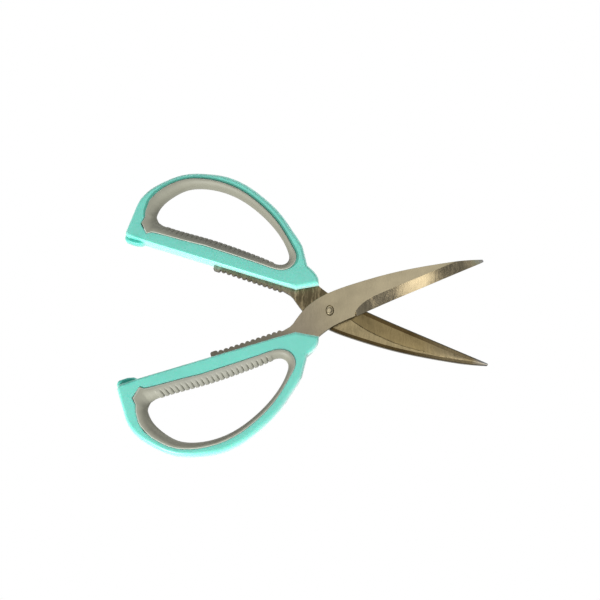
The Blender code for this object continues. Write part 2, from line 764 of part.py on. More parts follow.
def rest_bounds(meshes, turns):
    """Lowest and highest X of all meshes after each turn about the pivot."""
    xs = []
    for mesh in meshes:
        for vertex in mesh.vertices:
            xs += [(turn @ vertex.co).x for turn in turns]
    return min(xs), max(xs)


def build():
    """Both halves and the rivet, resting on Z = 0 with the origin below their middle."""
    for item in list(bpy.data.objects):
        bpy.data.objects.remove(item)
    steel = material("steel", (0.42, 0.38, 0.31), 0.32, 1.0)
    shell_plastic = material("shell_plastic", (0.21, 0.66, 0.56), 0.38, 0.0)
    grip_rubber = material("grip_rubber", (0.34, 0.34, 0.28), 0.6, 0.0)

    loop = FingerLoop()
    blade = blade_mesh()
    shell = shell_mesh(loop)
    grip = grip_mesh(loop)

    opening = math.radians(REST_ANGLE)
    front_turn = Matrix.Rotation(opening, 4, "Z")
    rear_turn = Matrix.Rotation(-opening, 4, "Z") @ Matrix.Rotation(math.pi, 4, "X")
    low, high = rest_bounds((blade, shell, grip), (front_turn, rear_turn))
    pivot = Matrix.Translation((-(low + high) / 2, 0, GRIP_THICKNESS / 2 * MM))

    add_piece("front_blade", blade, steel, pivot @ front_turn)
    add_piece("front_handle", shell, shell_plastic, pivot @ front_turn)
    add_piece("front_grip", grip, grip_rubber, pivot @ front_turn)
    add_piece("rear_blade", blade, steel, pivot @ rear_turn)
    add_piece("rear_handle", shell, shell_plastic, pivot @ rear_turn)
    add_piece("rear_grip", grip, grip_rubber, pivot @ rear_turn)
    add_piece("pivot_rivet", rivet_mesh(), steel, pivot @ front_turn)


build()
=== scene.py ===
"""Looks of the scissors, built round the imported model: steel, mint shell, grey grip, studio.

Each half is drawn closed, in millimetres, with the pivot at the origin, the tip towards +X and
the finger loop on the -Y side, and is then turned to its place about the pivot.
"""

import json
import math

import bmesh
import bpy
import numpy as np
from mathutils import Matrix, Vector


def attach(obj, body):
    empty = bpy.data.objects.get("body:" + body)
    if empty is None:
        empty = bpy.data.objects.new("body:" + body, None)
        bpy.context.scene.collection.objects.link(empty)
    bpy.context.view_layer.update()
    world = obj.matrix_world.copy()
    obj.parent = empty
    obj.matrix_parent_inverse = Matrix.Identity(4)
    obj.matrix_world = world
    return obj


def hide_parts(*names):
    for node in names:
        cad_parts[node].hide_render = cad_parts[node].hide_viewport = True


MM = 0.001
REST_ANGLE = 18.94

# Blade
BLADE_THICKNESS = 2.5
BLADE_GAP = 0.2
BLADE_LENGTH = 85.4
TIP_NOSE = ((-0.2, -0.75), (0.0, -0.1), (-0.3, 0.5))
BACK_HEIGHTS = ((0.92, 2.2), (0.76, 4.87), (0.59, 7.13), (0.41, 8.75), (0.21, 9.45), (0.04, 9.1))
EDGE_DEPTHS = ((0.11, 7.15), (0.35, 5.2), (0.59, 3.55), (0.82, 2.0), (0.975, 1.0))
BACK_SHOULDER = ((-6.0, 7.4), (-12.2, 4.9), (-15.6, 2.8))
SHOULDER_SLOPE = ((-18.0, 1.1), (-20.2, -0.6), (-22.2, -1.6))
HEEL = ((-9.2, -10.9), (-3.3, -8.9))
EDGE_THICKNESS = 0.35
BEVEL_WIDTH = 5.6
BEVEL_START = 11.5
BEVEL_RUNOUT = 14.0
BEVEL_LEAST = 0.02
BEVEL_STEPS = 24
HOLLOW_DEPTH = 0.3
HOLLOW_START = 10.5
HOLLOW_END = 73.0
HOLLOW_RUNOUT = 5.0
HOLLOW_LEAST = 0.04
HOLLOW_SECTIONS = 64
# Shares of the hollow's width: where it is full, its crisp border, and from, to and count of rows
HOLLOW_FULL = 0.8
HOLLOW_BORDER = 0.88
HOLLOW_BORDER_WIDTH = 0.12
HOLLOW_ROWS = ((-0.04, 0.9, 24), (0.92, 1.04, 10))
EDGE_LAND = 2.3
EDGE_LAND_START = 2.5
BACK_LAND = 1.7
BACK_LAND_START = 3.0
LAND_DEPTH = 0.07
LAND_LEAST = 0.3
LAND_SHARE = 0.45
LAND_OVERLAP = 0.05
LAND_SECTIONS = 72
PLATE_CHAMFER = 0.1
EDGE_RIM = 0.9
BACK_RIM = 0.54
RIM_DEPTH = 0.14
RIDE_LINE = ((9.0, -0.3), (12.2, 0.76), (18.3, 2.6), (26.9, 4.05), (39.7, 5.0), (52.9, 4.35),
             (65.9, 3.0), (75.0, 1.7))

# Toothed tang
TOOTH_COUNT = 12
TOOTH_PITCH = 2.87
TOOTH_DEPTH = 0.95
TOOTH_FULLNESS = 0.8
TOOTH_LINE = 2.55
TOOTH_START = 26.8
TOOTH_FACETS = 12
NUB_LENGTH = 3.9
NUB_HEIGHT = 1.4
NUB_RADIUS = 1.1
TANG_SEAT = 3.4
TANG_ROOT = ((-31.0, -8.2), (-25.0, -12.4), (-17.5, -14.3), (-12.5, -12.9))
TANG_GAP = 0.3

# Rivet
RIVET_RADIUS = 1.9
RIVET_HEAD_RADIUS = 2.4
RIVET_RIM = 0.15
# Rivet head: distance in from the rim and height above the blade
RIVET_HEAD = ((0.0, -0.2), (0.12, -0.3), (0.3, -0.22), (0.42, 0.06), (0.55, 0.18), (0.8, 0.2),
              (1.0, 0.12), (1.68, 0.06), (2.4, 0.06))
RIVET_GAP = 0.16
RIVET_SHIFT = 0.07
RIVET_OVAL = (0.84, 1.1)
RIVET_UPPER = 0.5
RIVET_SIDES = 96

# Handle shell
SHELL_THICKNESS = 10.0
SHELL_ROUND = 1.9
SHELL_ARC_ROUND = 2.5
SHELL_WALL_ROUND = 1.1
SHELL_ROUND_SHARE = 0.68
SHELL_ROUND_RUN = 9.0
SHELL_STEEPNESS = 1.25
SHELL_ROUND_STEPS = 10
WALL_POINTS = 24
INNER_WALL = 5.77
INNER_WALL_TILT = 1.76
FRONT_CORNER = 20.4
NOSE_TIP = (-9.8, -11.1)
NOSE_LOBE = ((-10.9, -13.7), (-13.2, -16.0), (-16.2, -17.7), (-18.7, -18.7))
CORNER_SPARE = 0.8
LUG_TOP_GAP = 0.3
LUG_FRONT = 103.1
LUG_SUNK = 0.3
LUG_SHOULDER = 105.4
LUG_CREST_FRONT = 108.6
LUG_CREST_REAR = 113.9
LUG_SHOULDER_DROP = 0.8
LUG_THICKNESS = 5.8
LUG_ROUND = 1.2
LUG_ROUND_STEPS = 6
LUG_ROOT = 4.0

# Finger opening and grip
FINGER_LENGTH = 74.6
FINGER_DEPTH = 28.9
FINGER_FRONT = 29.2
FINGER_TOP = 14.7
GRIP_BAR = 5.0
GRIP_NOSE = 4.0
GRIP_NECK = 2.2
GRIP_ARC = 3.0
GRIP_HEEL = 4.2
GRIP_REAR = 5.8
GRIP_CORNER = 8.9
SHELL_NECK = 4.5
SHELL_ARC = 4.6
SHELL_HEEL = 3.45
SHELL_REAR = 5.45
# Round the opening: the share of its length and depth, the grip's width and the shell's
FINGER_STATIONS = (
    (0.955, 0.026, GRIP_CORNER, SHELL_REAR),
    (0.920, 0.006, GRIP_BAR + 0.7, SHELL_REAR),
    (0.860, 0.000, GRIP_BAR + 0.3, SHELL_REAR),
    (0.740, 0.012, GRIP_BAR, SHELL_REAR),
    (0.547, 0.038, GRIP_BAR, SHELL_REAR),
    (0.279, 0.030, GRIP_BAR - 0.4, SHELL_NECK),
    (0.118, 0.005, GRIP_NOSE, SHELL_NECK),
    (0.056, 0.003, GRIP_NOSE - 0.2, SHELL_NECK),
    (0.015, 0.055, GRIP_NOSE, SHELL_NECK),
    (0.000, 0.152, GRIP_NOSE, SHELL_NECK),
    (0.022, 0.287, GRIP_NECK + 0.7, SHELL_NECK + 0.5),
    (0.098, 0.495, GRIP_NECK, SHELL_NECK + 0.1),
    (0.205, 0.690, GRIP_NECK + 0.3, SHELL_ARC),
    (0.334, 0.852, GRIP_ARC - 0.3, SHELL_ARC),
    (0.480, 0.969, GRIP_ARC, SHELL_ARC),
    (0.614, 1.000, GRIP_ARC + 0.2, SHELL_ARC - 0.1),
    (0.748, 0.952, GRIP_ARC + 0.5, SHELL_HEEL + 0.2),
    (0.862, 0.820, GRIP_HEEL, SHELL_HEEL),
    (0.942, 0.595, GRIP_REAR - 0.5, SHELL_HEEL + 0.2),
    (0.989, 0.370, GRIP_REAR, SHELL_REAR - 0.8),
    (1.000, 0.190, GRIP_REAR, SHELL_REAR),
    (0.996, 0.128, GRIP_REAR + 0.6, SHELL_REAR),
    (0.982, 0.081, GRIP_CORNER - 0.7, SHELL_REAR),
    (0.970, 0.050, GRIP_CORNER - 0.6, SHELL_REAR),
)
FRONT_STATION = 9
NECK_STATION = 10
REAR_STATION = 20
# Seam at the pointed corner: distance round the opening, X and Y
CORNER_SEAM = (
    (-5.2, -109.05, -18.6),
    (-4.2, -108.55, -16.7),
    (-3.4, -108.15, -15.1),
    (-2.6, -108.8, -11.3),
    (-0.6, -103.95, -7.0),
    (0.4, -101.9, -8.45),
    (1.6, -99.5, -8.85),
    (6.0, -94.4, -9.2),
    (14.0, -86.3, -9.65),
    (20.0, -80.2, -10.1),
)
CORNER_RANGE = (-9.0, 27.0)
CORNER_SPACING = 0.4
GRIP_PROUD = 0.4
GRIP_FLAT_SHARE = 0.12
GRIP_EDGE = 0.35
GRIP_EDGE_POINTS = 6
GRIP_CROWN = 0.02
GRIP_STEPS = 28
SEAM_GAP = 0.05
SEAM_ROUND = 0.32
SEAM_STEPS = 4
SEAM_TURN = 8.5
SEAM_RUN = 4.0
# Shallow slope beside the seam, with the Y at which it starts and is full
BAND_WIDTH = 0.95
BAND_LEAST = 0.02
BAND_FLARE = 0.01
BAND_SINK = 0.04
BAND_START = -13.0
BAND_FULL = -19.0
# Wear gaps by the pointed corner: the distance behind it, the width and the length
CORNER_GAPS = ((2.5, 0.3, 1.1), (12.8, 0.22, 1.4))
CORNER_GAP_SHELL = 0.5
RIB_COUNT = 23
RIB_PITCH = 2.69
RIB_HEIGHT = 0.4
RIB_FRONT = 37.3
RIB_GROOVE = 0.3
RIB_REAR_FLANK = 0.5
RIB_ROUNDNESS = 0.8
RIB_SINK = 0.32
RIB_REACH = (52.0, 70.0)
RIB_FADE = 0.6
RIB_TOP = 0.8
RIB_STEPS = 14
RIB_CLEAR = 0.3
# X along the handle and the lean of the ribs there in degrees
RIB_LEANS = ((-95.5, 22.0), (-66.0, 14.0), (-36.0, 9.0))
RIB_LEAN_FADE = 6.0

# Fineness of the visible meshes: most degrees and millimetres of a facet, and sampling
FACET_TURN = 3.0
FACET_RUN = 1.6
CORNER_TURN = 7.0
SAMPLE_STEP = 0.1
SIDE_SAMPLES = 800
SLIVER = 0.003
# Upward part of the normal of a face that counts as flat, or as outer
FLAT_NORMAL = 0.9
OUTER_NORMAL = 0.5

BLADE_INNER = BLADE_GAP / 2
BLADE_OUTER = BLADE_INNER + BLADE_THICKNESS
GRIP_THICKNESS = SHELL_THICKNESS + 2 * GRIP_PROUD
TANG_END = TOOTH_START + TOOTH_COUNT * TOOTH_PITCH + NUB_LENGTH
# How far a cutter reaches past what it cuts
OVERSHOOT = 1.0

# Looks of the blade's surfaces, in the order of STEEL_LOOKS
FACE_ZONE, BEVEL_ZONE, HOLLOW_ZONE, LAND_ZONE, INNER_ZONE, SIDE_ZONE, RIM_ZONE = range(7)

# Edges that turn by more than these degrees stay sharp
BLADE_SHARP = 7
SHELL_SHARP = 35
GRIP_SHARP = 60

NORMAL_WEIGHT = 80

# Colours
WHITE = (1, 1, 1, 1)
BLACK = (0, 0, 0, 1)
FACE_STEEL = (0.43, 0.368, 0.242)
BEVEL_STEEL = (0.56, 0.48, 0.33)
HOLLOW_STEEL = (0.29, 0.22, 0.104)
# Painted shade: lands and rims are coloured far darker than the face, standing in for their dark
# reflections
LAND_STEEL = (0.08, 0.054, 0.021)
RIM_STEEL = (0.09, 0.08, 0.055)
INNER_STEEL = (0.355, 0.282, 0.152)
SIDE_STEEL = (0.16, 0.135, 0.085)
MINT = (0.175, 0.615, 0.515)
# Painted shade beside the seam on the upper handle
SEAM_SHADE_MINT = (0.07, 0.35, 0.27)
GREY_RUBBER = (0.292, 0.29, 0.23)
# Painted highlight: the grip's side along the seam is lighter and greener than the rubber, standing
# in for a lit line
EDGE_RUBBER = (0.37, 0.4, 0.34)

VECTOR_MATHS = "ShaderNodeVectorMath"

# Noises: scales per millimetre along X, Y and Z, detail and roughness
STEEL_WAVES = ((0.15, 0.3, 0.3), 1.0)
STEEL_GRAIN = ((2.6, 2.6, 2.6), 3.0, 0.6)
STEEL_CLOUD = ((0.11, 0.16, 0.16), 2.0)
STEEL_SCARS = ((0.55, 0.06, 0.06), 3.0, 0.6)
PLASTIC_GRAIN = ((2.0, 2.0, 2.0), 3.0, 0.6)
PLASTIC_CLOUD = ((0.09, 0.09, 0.09), 3.0, 0.55)

# Grinding marks: how far they slant and wave, their scale along themselves and their fineness
MARK_SLANT = 0.343
MARK_WAVE = 3.0
MARK_RUN = (0.12, 0.12)
MARK_FINENESS = (4.0, 0.65)

# Weights of marks, grain and cloud in the steel, and of grain and cloud in the plastic
STEEL_TONE = (0.45, 0.3, 0.25)
STEEL_ROUGHNESS = (0.6, 0.4)
STEEL_BUMP = (0.7, 0.3)
PLASTIC_TONE = (0.4, 0.6)
PLASTIC_ROUGHNESS = (0.5, 0.5)

# Values of a noise between which a tone, a roughness or a scar goes from none to full
STEEL_TONE_RANGE = (0.42, 0.58)
PLASTIC_TONE_RANGE = (0.35, 0.65)
ROUGHNESS_RANGE = (0.3, 0.7)
STEEL_ROUGHNESS_SHARES = (0.75, 1.3)
PLASTIC_ROUGHNESS_SHARES = (0.85, 1.15)
SCAR_RANGE = (0.48, 0.62)
SCAR_CORE = 0.6
PAINTED_SPOT_RANGE = (1, 0.5)
PAINTED_WALL_RANGE = (0.97, 0.3)

# Steel in the order of the zones: name, colour, contrast, roughness, marks per millimetre and
# bump in millimetres. Then tints with the X where each starts and is full, and scars with the X
# of their middle, their reach and tint. The tints are painted light and shade: reflections
# painted lighter or darker along the blade, painted shade on the tang and the sides of its
# teeth, and painted highlights on the nub and towards the tip.
# Painted glint: the steel lightened and blued over the last millimetres towards the tip
TIP_PAINTED_GLINT = (77, 84, (2.6, 3.0, 4.5))
STEEL_LOOKS = (
    ("steel_face", FACE_STEEL, 0.14, 0.36, 0.9, 0.006,
     ((0, -16, (0.86, 0.86, 0.94)), (-20, -32, (0.72, 0.76, 0.8)),
      (15, 40, (1.1, 1.1, 1.1)), (55, 75, (0.7, 0.73, 0.73)))),
    ("steel_bevel", BEVEL_STEEL, 0.24, 0.08, 0.8, 0.003,
     ((50, 58, (1.0, 1.0, 0.98)), (74, 80, (1.75, 1.7, 1.65)), (80, 85, (1.6, 1.6, 1.8)))),
    ("steel_hollow", HOLLOW_STEEL, 0.22, 0.33, 0.85, 0.008,
     ((40, 14, (0.7, 0.7, 0.7)), (50, 70, (1.5, 1.6, 2.0)), (80, 85, (1.5, 1.7, 2.4)))),
    ("steel_land", LAND_STEEL, 0.22, 0.3, 0.9, 0.006, ((45, 65, (2.0, 2.3, 3.2)), TIP_PAINTED_GLINT)),
    ("steel_inner", INNER_STEEL, 0.26, 0.34, 0.85, 0.012,
     ((8, -2, (0.36, 0.36, 0.37)), (-18, -26, (2.1, 2.2, 2.7)), (-60, -62, (1.5, 1.7, 2.0)),
      TIP_PAINTED_GLINT),
     ((-10, 14, (2.7, 2.7, 2.8)),)),
    ("steel_side", SIDE_STEEL, 0.15, 0.45, 1.5, 0.008, ((-18, -24, (0.45, 0.45, 0.5)),)),
    ("steel_rim", RIM_STEEL, 0.2, 0.3, 0.9, 0.006, (TIP_PAINTED_GLINT,)),
)
RIVET_LOOK = ("rivet_steel", FACE_STEEL, 0.08, 0.25, 1.2, 0.004)

# Plastic: tint of the edges as painted light on steep walls, lighter and paler on the mint and
# darker on the grey, contrast, roughness, bump in millimetres, sheen, coat and glow
MINT_SURFACE = ((1.9, 1.25, 1.32), 0.05, 0.36, 0.001, 0.45, 0.2, 0.5)
GREY_SURFACE = ((0.78, 0.78, 0.76), 0.08, 0.55, 0.01, 0.05, 0.0, 0.0)
EDGE_SURFACE = ((1.0, 1.0, 1.0), 0.06, 0.5, 0.006, 0.1, 0.0, 0.0)
PLASTIC_SPECULAR = 0.3
COAT_ROUGHNESS = 0.35
GLOW_RADIUS = (0.5, 1.2, 1.0)
GLOW_DEPTH = 1.6
# Painted light and shade in ovals: the middle, the radii and the tint; the lug's is painted deep
# green shade
LUG_PAINTED_SHADE = ((-108.5, 0, 0), (7, 6.5, 9), (0.25, 0.75, 0.72))
BAR_PLACE = ((-67, -13, 0), (44, 9, 14))
# Painted shade and light on the grips' bars: the upper grip's bar darkened, the lower one's
# lightened
# The bar of the upper grip is the darker one in the photo
BAR_TINTS = {"front": (1.12, 1.13, 1.2), "rear": (0.64, 0.64, 0.66)}

# Camera, fitted to the photo, with the pivot's place in the picture's plane
CAMERA_TILT = math.radians(13.5)
CAMERA_DISTANCE = 0.45
CAMERA_FAR = 10
SENSOR_WIDTH = 36
PIXELS = 600
FOCAL_PIXELS = 855.0
PLANE_PIVOT = (0.01511, -0.00708)
PLANE_ROLL = math.radians(-0.28)
PLANE_HEIGHT = 0.0004

# Studio: the floor looks white and sends little light back up
FLOOR_REACH = 3
FLOOR_GLOW = (0.4, 1)
WORLD_LIGHT = 0.23
# Lights: watts, place, target, size and colour
LIGHTS = {
    "key": (22.5, (-0.52, -0.98, 0.53), (0, 0, 0), (0.4, 0.2)),
    "ceiling": (1.5, (0.25, 0.3, 1.1), (0, 0, 0), (0.6, 0.7)),
    "back": (4, (0.1, 0.95, 0.15), (0, 0, 0), (1.4, 0.12)),
    "fill": (4, (1.1, -0.1, 0.4), (0, 0, 0), (0.4, 0.3)),
    "lamp": (0.012, (0.468, -0.365, 0.838), (0.059, 0.0139, 0.007), (0.06, 0.03), (1, 0.93, 0.8)),
}


def fit_spline(knots, values, closed):
    """Second derivatives of the smooth cubic curve through values at knots."""
    step = np.diff(knots)
    slope = np.diff(values, axis=0) / step[:, None]
    count = len(knots)
    matrix = np.zeros((count, count))
    right = np.zeros(values.shape)
    for i in range(1, count - 1):
        matrix[i, i - 1:i + 2] = step[i - 1], 2 * (step[i - 1] + step[i]), step[i]
        right[i] = 6 * (slope[i] - slope[i - 1])
    if closed:
        matrix[0, 0], matrix[0, -1] = 1, -1
        matrix[-1, :2] = 2 * step[0], step[0]
        matrix[-1, -2:] += step[-1], 2 * step[-1]
        right[-1] = 6 * (slope[0] - slope[-1])
    else:
        matrix[0, 0] = matrix[-1, -1] = 1
    return np.linalg.solve(matrix, right)


def read_spline(knots, values, bend, where):
    """Points of a fitted curve at the distances in where."""
    where = np.atleast_1d(where)
    index = np.clip(np.searchsorted(knots, where, side="right") - 1, 0, len(knots) - 2)
    step = (knots[index + 1] - knots[index])[:, None]
    after = (where - knots[index])[:, None] / step
    before = 1 - after
    curve = (before ** 3 - before) * bend[index] + (after ** 3 - after) * bend[index + 1]
    return before * values[index] + after * values[index + 1] + curve * step ** 2 / 6


def chord_knots(points):
    """Distance along the chords from the first point to each point."""
    return np.concatenate([[0], np.cumsum(np.linalg.norm(np.diff(points, axis=0), axis=1))])


def facet_places(points, places, most_turn=FACET_TURN, most_run=FACET_RUN):
    """The places at which a densely sampled curve has turned or run far enough for a facet."""
    chords = np.diff(points, axis=0)
    heading = np.unwrap(np.arctan2(chords[:, 1], chords[:, 0]))
    kept = [0]
    for i in range(1, len(heading)):
        bent = abs(heading[i] - heading[kept[-1]])
        run = places[i] - places[kept[-1]]
        if bent > math.radians(most_turn) or run > most_run:
            kept.append(i)
    if places[-1] - places[kept[-1]] < most_run / 4:
        kept.pop()
    return np.append(places[kept], places[-1])


def smooth_run(points):
    """Facet points of the smooth open curve through points."""
    points = np.array(points, dtype=float)
    knots = chord_knots(points)
    bend = fit_spline(knots, points, closed=False)
    places = np.linspace(0, knots[-1], int(knots[-1] / SAMPLE_STEP) + 2)
    kept = facet_places(read_spline(knots, points, bend, places), places)
    return read_spline(knots, points, bend, kept)


def round_corner(before, corner, after, radius):
    """Arc of the radius that joins the two straight sides at a corner."""
    corner = np.array(corner, dtype=float)
    to_before = np.array(before, dtype=float) - corner
    to_after = np.array(after, dtype=float) - corner
    to_before /= np.linalg.norm(to_before)
    to_after /= np.linalg.norm(to_after)
    half = math.acos(float(np.clip(to_before @ to_after, -1, 1))) / 2
    middle = (to_before + to_after) / np.linalg.norm(to_before + to_after)
    centre = corner + middle * radius / math.sin(half)
    start = corner + to_before * radius / math.tan(half) - centre
    sweep = math.pi - 2 * half
    if start[1] * middle[0] - start[0] * middle[1] < 0:
        sweep = -sweep
    count = max(3, math.ceil(abs(math.degrees(sweep)) / CORNER_TURN))
    arc = []
    for i in range(count + 1):
        turn = sweep * i / count
        cosine, sine = math.cos(turn), math.sin(turn)
        arc.append(centre + (start[0] * cosine - start[1] * sine,
                             start[0] * sine + start[1] * cosine))
    return arc


def offset_path(points, distance, closed):
    """Path moved to its right by distance, with mitred corners."""
    points = np.array(points, dtype=float)
    if closed:
        before = points - np.roll(points, 1, axis=0)
        after = np.roll(points, -1, axis=0) - points
    else:
        chords = np.diff(points, axis=0)
        before = np.vstack([chords[:1], chords])
        after = np.vstack([chords, chords[-1:]])
    before /= np.linalg.norm(before, axis=1)[:, None]
    after /= np.linalg.norm(after, axis=1)[:, None]
    normal_before = np.stack([before[:, 1], -before[:, 0]], axis=1)
    normal_after = np.stack([after[:, 1], -after[:, 0]], axis=1)
    mitre = normal_before + normal_after
    mitre /= (1 + np.sum(normal_before * normal_after, axis=1))[:, None]
    return points + mitre * distance


def new_mesh(name, build, looks=(), zone=0):
    """Mesh made by build(bm), its faces pointing out and all in one of the looks."""
    bm = bmesh.new()
    build(bm)
    bmesh.ops.recalc_face_normals(bm, faces=bm.faces)
    for face in bm.faces:
        face.material_index = zone
    mesh = bpy.data.meshes.new(name)
    bm.to_mesh(mesh)
    bm.free()
    for look in looks:
        mesh.materials.append(look)
    return mesh


def lofted(name, loops, looks=(), zone=0, ring=False):
    """Body through equal-length loops of points, capped at both ends or joined to a ring."""
    def build(bm):
        rows = [[bm.verts.new(point) for point in loop] for loop in loops]
        for lower, upper in zip(rows, rows[1:] + rows[:1] if ring else rows[1:]):
            for i in range(len(lower)):
                j = (i + 1) % len(lower)
                bm.faces.new((lower[i], lower[j], upper[j], upper[i]))
        if not ring:
            bm.faces.new(reversed(rows[0]))
            bm.faces.new(rows[-1])
    return new_mesh(name, build, looks, zone)


def plate(name, outline, low, high, chamfer=0.0, looks=()):
    """Flat plate with the given anticlockwise outline, its edges broken by a chamfer."""
    levels = [(0, low), (0, high)]
    if chamfer:
        levels = [(chamfer, low), (0, low + chamfer), (0, high - chamfer), (chamfer, high)]
    loops = []
    for inset, height in levels:
        inner = offset_path(outline, -inset, closed=True)
        loops.append([(x, y, height) for x, y in inner])
    return lofted(name, loops, looks)


def rounded_plate(name, outline, thickness, widths, steepness, steps, looks=()):
    """Plate about Z = 0 with rounded top and bottom edges, as wide as widths says at each point."""
    widths = np.array(widths, dtype=float)
    levels = []
    for angle in np.linspace(math.pi / 2, 0, steps + 1):
        inner = offset_path(outline, -widths[:, None] * (1 - math.cos(angle)), closed=True)
        height = thickness / 2 - widths * steepness * (1 - math.sin(angle))
        levels.append(np.column_stack([inner, height]))
    loops = [level * (1, 1, -1) for level in levels] + levels[::-1]
    return lofted(name, loops, looks)


def turned(name, profile):
    """Body turned about the Z axis; the profile runs from the lower to the upper pole."""
    def build(bm):
        low = bm.verts.new((0, 0, profile[0][1]))
        high = bm.verts.new((0, 0, profile[-1][1]))
        rings = []
        for radius, height in profile[1:-1]:
            angles = [2 * math.pi * i / RIVET_SIDES for i in range(RIVET_SIDES)]
            ring = [(radius * math.cos(a), radius * math.sin(a), height) for a in angles]
            rings.append([bm.verts.new(point) for point in ring])
        for i in range(RIVET_SIDES):
            j = (i + 1) % RIVET_SIDES
            bm.faces.new((low, rings[0][j], rings[0][i]))
            bm.faces.new((high, rings[-1][i], rings[-1][j]))
            for lower, upper in zip(rings, rings[1:]):
                bm.faces.new((lower[i], lower[j], upper[j], upper[i]))
    return new_mesh(name, build)


def add_object(name, data):
    """New object in the scene that shows a mesh, a light or a camera."""
    item = bpy.data.objects.new(name, data)
    bpy.context.scene.collection.objects.link(item)
    return item


def combine(base, operation, *tools):
    """Mesh of base after cutting it with, or joining it to, each tool mesh in turn."""
    for tool in tools:
        subject, other = add_object("subject", base), add_object("other", tool)
        boolean = subject.modifiers.new(operation, "BOOLEAN")
        boolean.operation = operation
        boolean.solver = "EXACT"
        boolean.object = other
        graph = bpy.context.evaluated_depsgraph_get()
        result = bpy.data.meshes.new_from_object(subject.evaluated_get(graph))
        result.name = base.name
        bpy.data.objects.remove(subject)
        bpy.data.objects.remove(other)
        bpy.data.meshes.remove(tool)
        bpy.data.meshes.remove(base)
        base = result
    return base


def clean_slivers(mesh):
    """Collapse the faces of a mesh that are too thin to see, which the cuts leave.

    The outer faces aren't triangulated, because that shows in the shading of the bevel.
    """
    bm = bmesh.new()
    bm.from_mesh(mesh)
    bmesh.ops.remove_doubles(bm, verts=bm.verts, dist=SLIVER)
    inner = [face for face in bm.faces if len(face.verts) > 4 and face.normal.z < OUTER_NORMAL]
    bmesh.ops.triangulate(bm, faces=inner)
    bmesh.ops.dissolve_degenerate(bm, edges=bm.edges, dist=SLIVER)
    bm.to_mesh(mesh)
    bm.free()


def y_at(line, x):
    """Y of a line of points at an X, with X rising along the line."""
    return np.interp(x, line[:, 0], line[:, 1])


def wall_y(x):
    """Height of the shell's straight wall that faces the other half."""
    return -INNER_WALL - x * math.tan(math.radians(INNER_WALL_TILT))


def back_line():
    """Back of the blade from the tip to the corner of its shoulder."""
    tip = (BLADE_LENGTH + TIP_NOSE[-1][0], TIP_NOSE[-1][1])
    taper = [(share * BLADE_LENGTH, height) for share, height in BACK_HEIGHTS]
    return smooth_run([tip] + taper + list(BACK_SHOULDER))


def edge_line():
    """Cutting edge and the blunt heel behind it, from the handle to the tip."""
    taper = [(share * BLADE_LENGTH, -depth) for share, depth in EDGE_DEPTHS]
    return smooth_run(list(HEEL) + taper)


def tooth_line():
    """Rounded teeth of the tang, from the shoulder towards the handle's rear."""
    points = []
    for tooth in range(TOOTH_COUNT):
        for facet in range(TOOTH_FACETS):
            share = facet / TOOTH_FACETS
            height = TOOTH_DEPTH * math.sin(math.pi * share) ** TOOTH_FULLNESS
            points.append((-TOOTH_START - (tooth + share) * TOOTH_PITCH, height - TOOTH_LINE))
    return points


def nub_line():
    """Raised round end of the toothed strip."""
    front = TANG_END - NUB_LENGTH
    top = NUB_HEIGHT - TOOTH_LINE
    root = (-front, -TOOTH_LINE)
    front_top = (-front, top)
    rear_top = (-TANG_END, top)
    foot = (-TANG_END, -TOOTH_LINE)
    return [root] + round_corner(root, front_top, rear_top, NUB_RADIUS) \
        + round_corner(front_top, rear_top, foot, NUB_RADIUS)


def blade_outline():
    """Whole outline of blade and tang, anticlockwise, with the tang cut short in the shell."""
    nose = [(BLADE_LENGTH + x, y) for x, y in TIP_NOSE[:-1]]
    outline = [tuple(point) for point in edge_line()] + nose
    outline += [tuple(point) for point in back_line()]
    outline += list(SHOULDER_SLOPE) + tooth_line() + nub_line()
    end = -TANG_END
    outline += [(end, wall_y(end) - TANG_SEAT), *TANG_ROOT]
    return outline


def bevel_cutter():
    """Metal ground off the outer face along the edge, run out in a curve at the heel."""
    edge = edge_line()
    rise = BLADE_THICKNESS - EDGE_THICKNESS
    runout = [BEVEL_START + BEVEL_RUNOUT * (i / BEVEL_STEPS) ** 2 for i in range(BEVEL_STEPS + 1)]
    straight = [x for x in edge[:, 0] if x > runout[-1] + FACET_RUN / 2]
    loops = []
    for x in runout + straight + [BLADE_LENGTH + OVERSHOOT]:
        share = min(1, (x - BEVEL_START) / BEVEL_RUNOUT)
        width = max(BEVEL_LEAST, BEVEL_WIDTH * math.sqrt(1 - (1 - share) ** 2))
        y = y_at(edge, x)
        slope = math.hypot(width, rise)
        along = (width / slope * OVERSHOOT, rise / slope * OVERSHOOT)
        start = (y - along[0], BLADE_INNER + EDGE_THICKNESS - along[1])
        end = (y + width + along[0], BLADE_OUTER + along[1])
        side = y - 2 * OVERSHOOT
        loops.append([(x, side, start[1]), (x, *start), (x, *end), (x, side, end[1])])
    return lofted("bevel", loops, zone=BEVEL_ZONE)


def hollow_cutter():
    """Shallow hollow in the inner face, with a soft start at the edge and a crisp far border."""
    edge = edge_line()
    back = back_line()[::-1]
    ride = smooth_run(RIDE_LINE)
    shares = np.concatenate([np.linspace(*rows) for rows in HOLLOW_ROWS])
    loops = []
    for x in np.linspace(HOLLOW_START, HOLLOW_END, HOLLOW_SECTIONS):
        low = y_at(edge, x) + EDGE_LAND
        high = min(y_at(back, x) - BACK_LAND, y_at(ride, x))
        share = min(1, (x - HOLLOW_START) / HOLLOW_RUNOUT, (HOLLOW_END - x) / HOLLOW_RUNOUT)
        depth = HOLLOW_DEPTH * math.sqrt(max(HOLLOW_LEAST, share))
        loop = []
        for part in shares:
            height = depth * HOLLOW_FULL
            if part < HOLLOW_FULL:
                height *= math.sin(math.pi / 2 * part / HOLLOW_FULL)
            height *= 1 - max(0, (part - HOLLOW_BORDER) / HOLLOW_BORDER_WIDTH) ** 2
            loop.append((x, low + (high - low) * part, BLADE_INNER + height))
        loop.append((x, high, BLADE_INNER - OVERSHOOT))
        loop.append((x, low, BLADE_INNER - OVERSHOOT))
        loops.append(loop)
    return lofted("hollow", loops, zone=HOLLOW_ZONE)


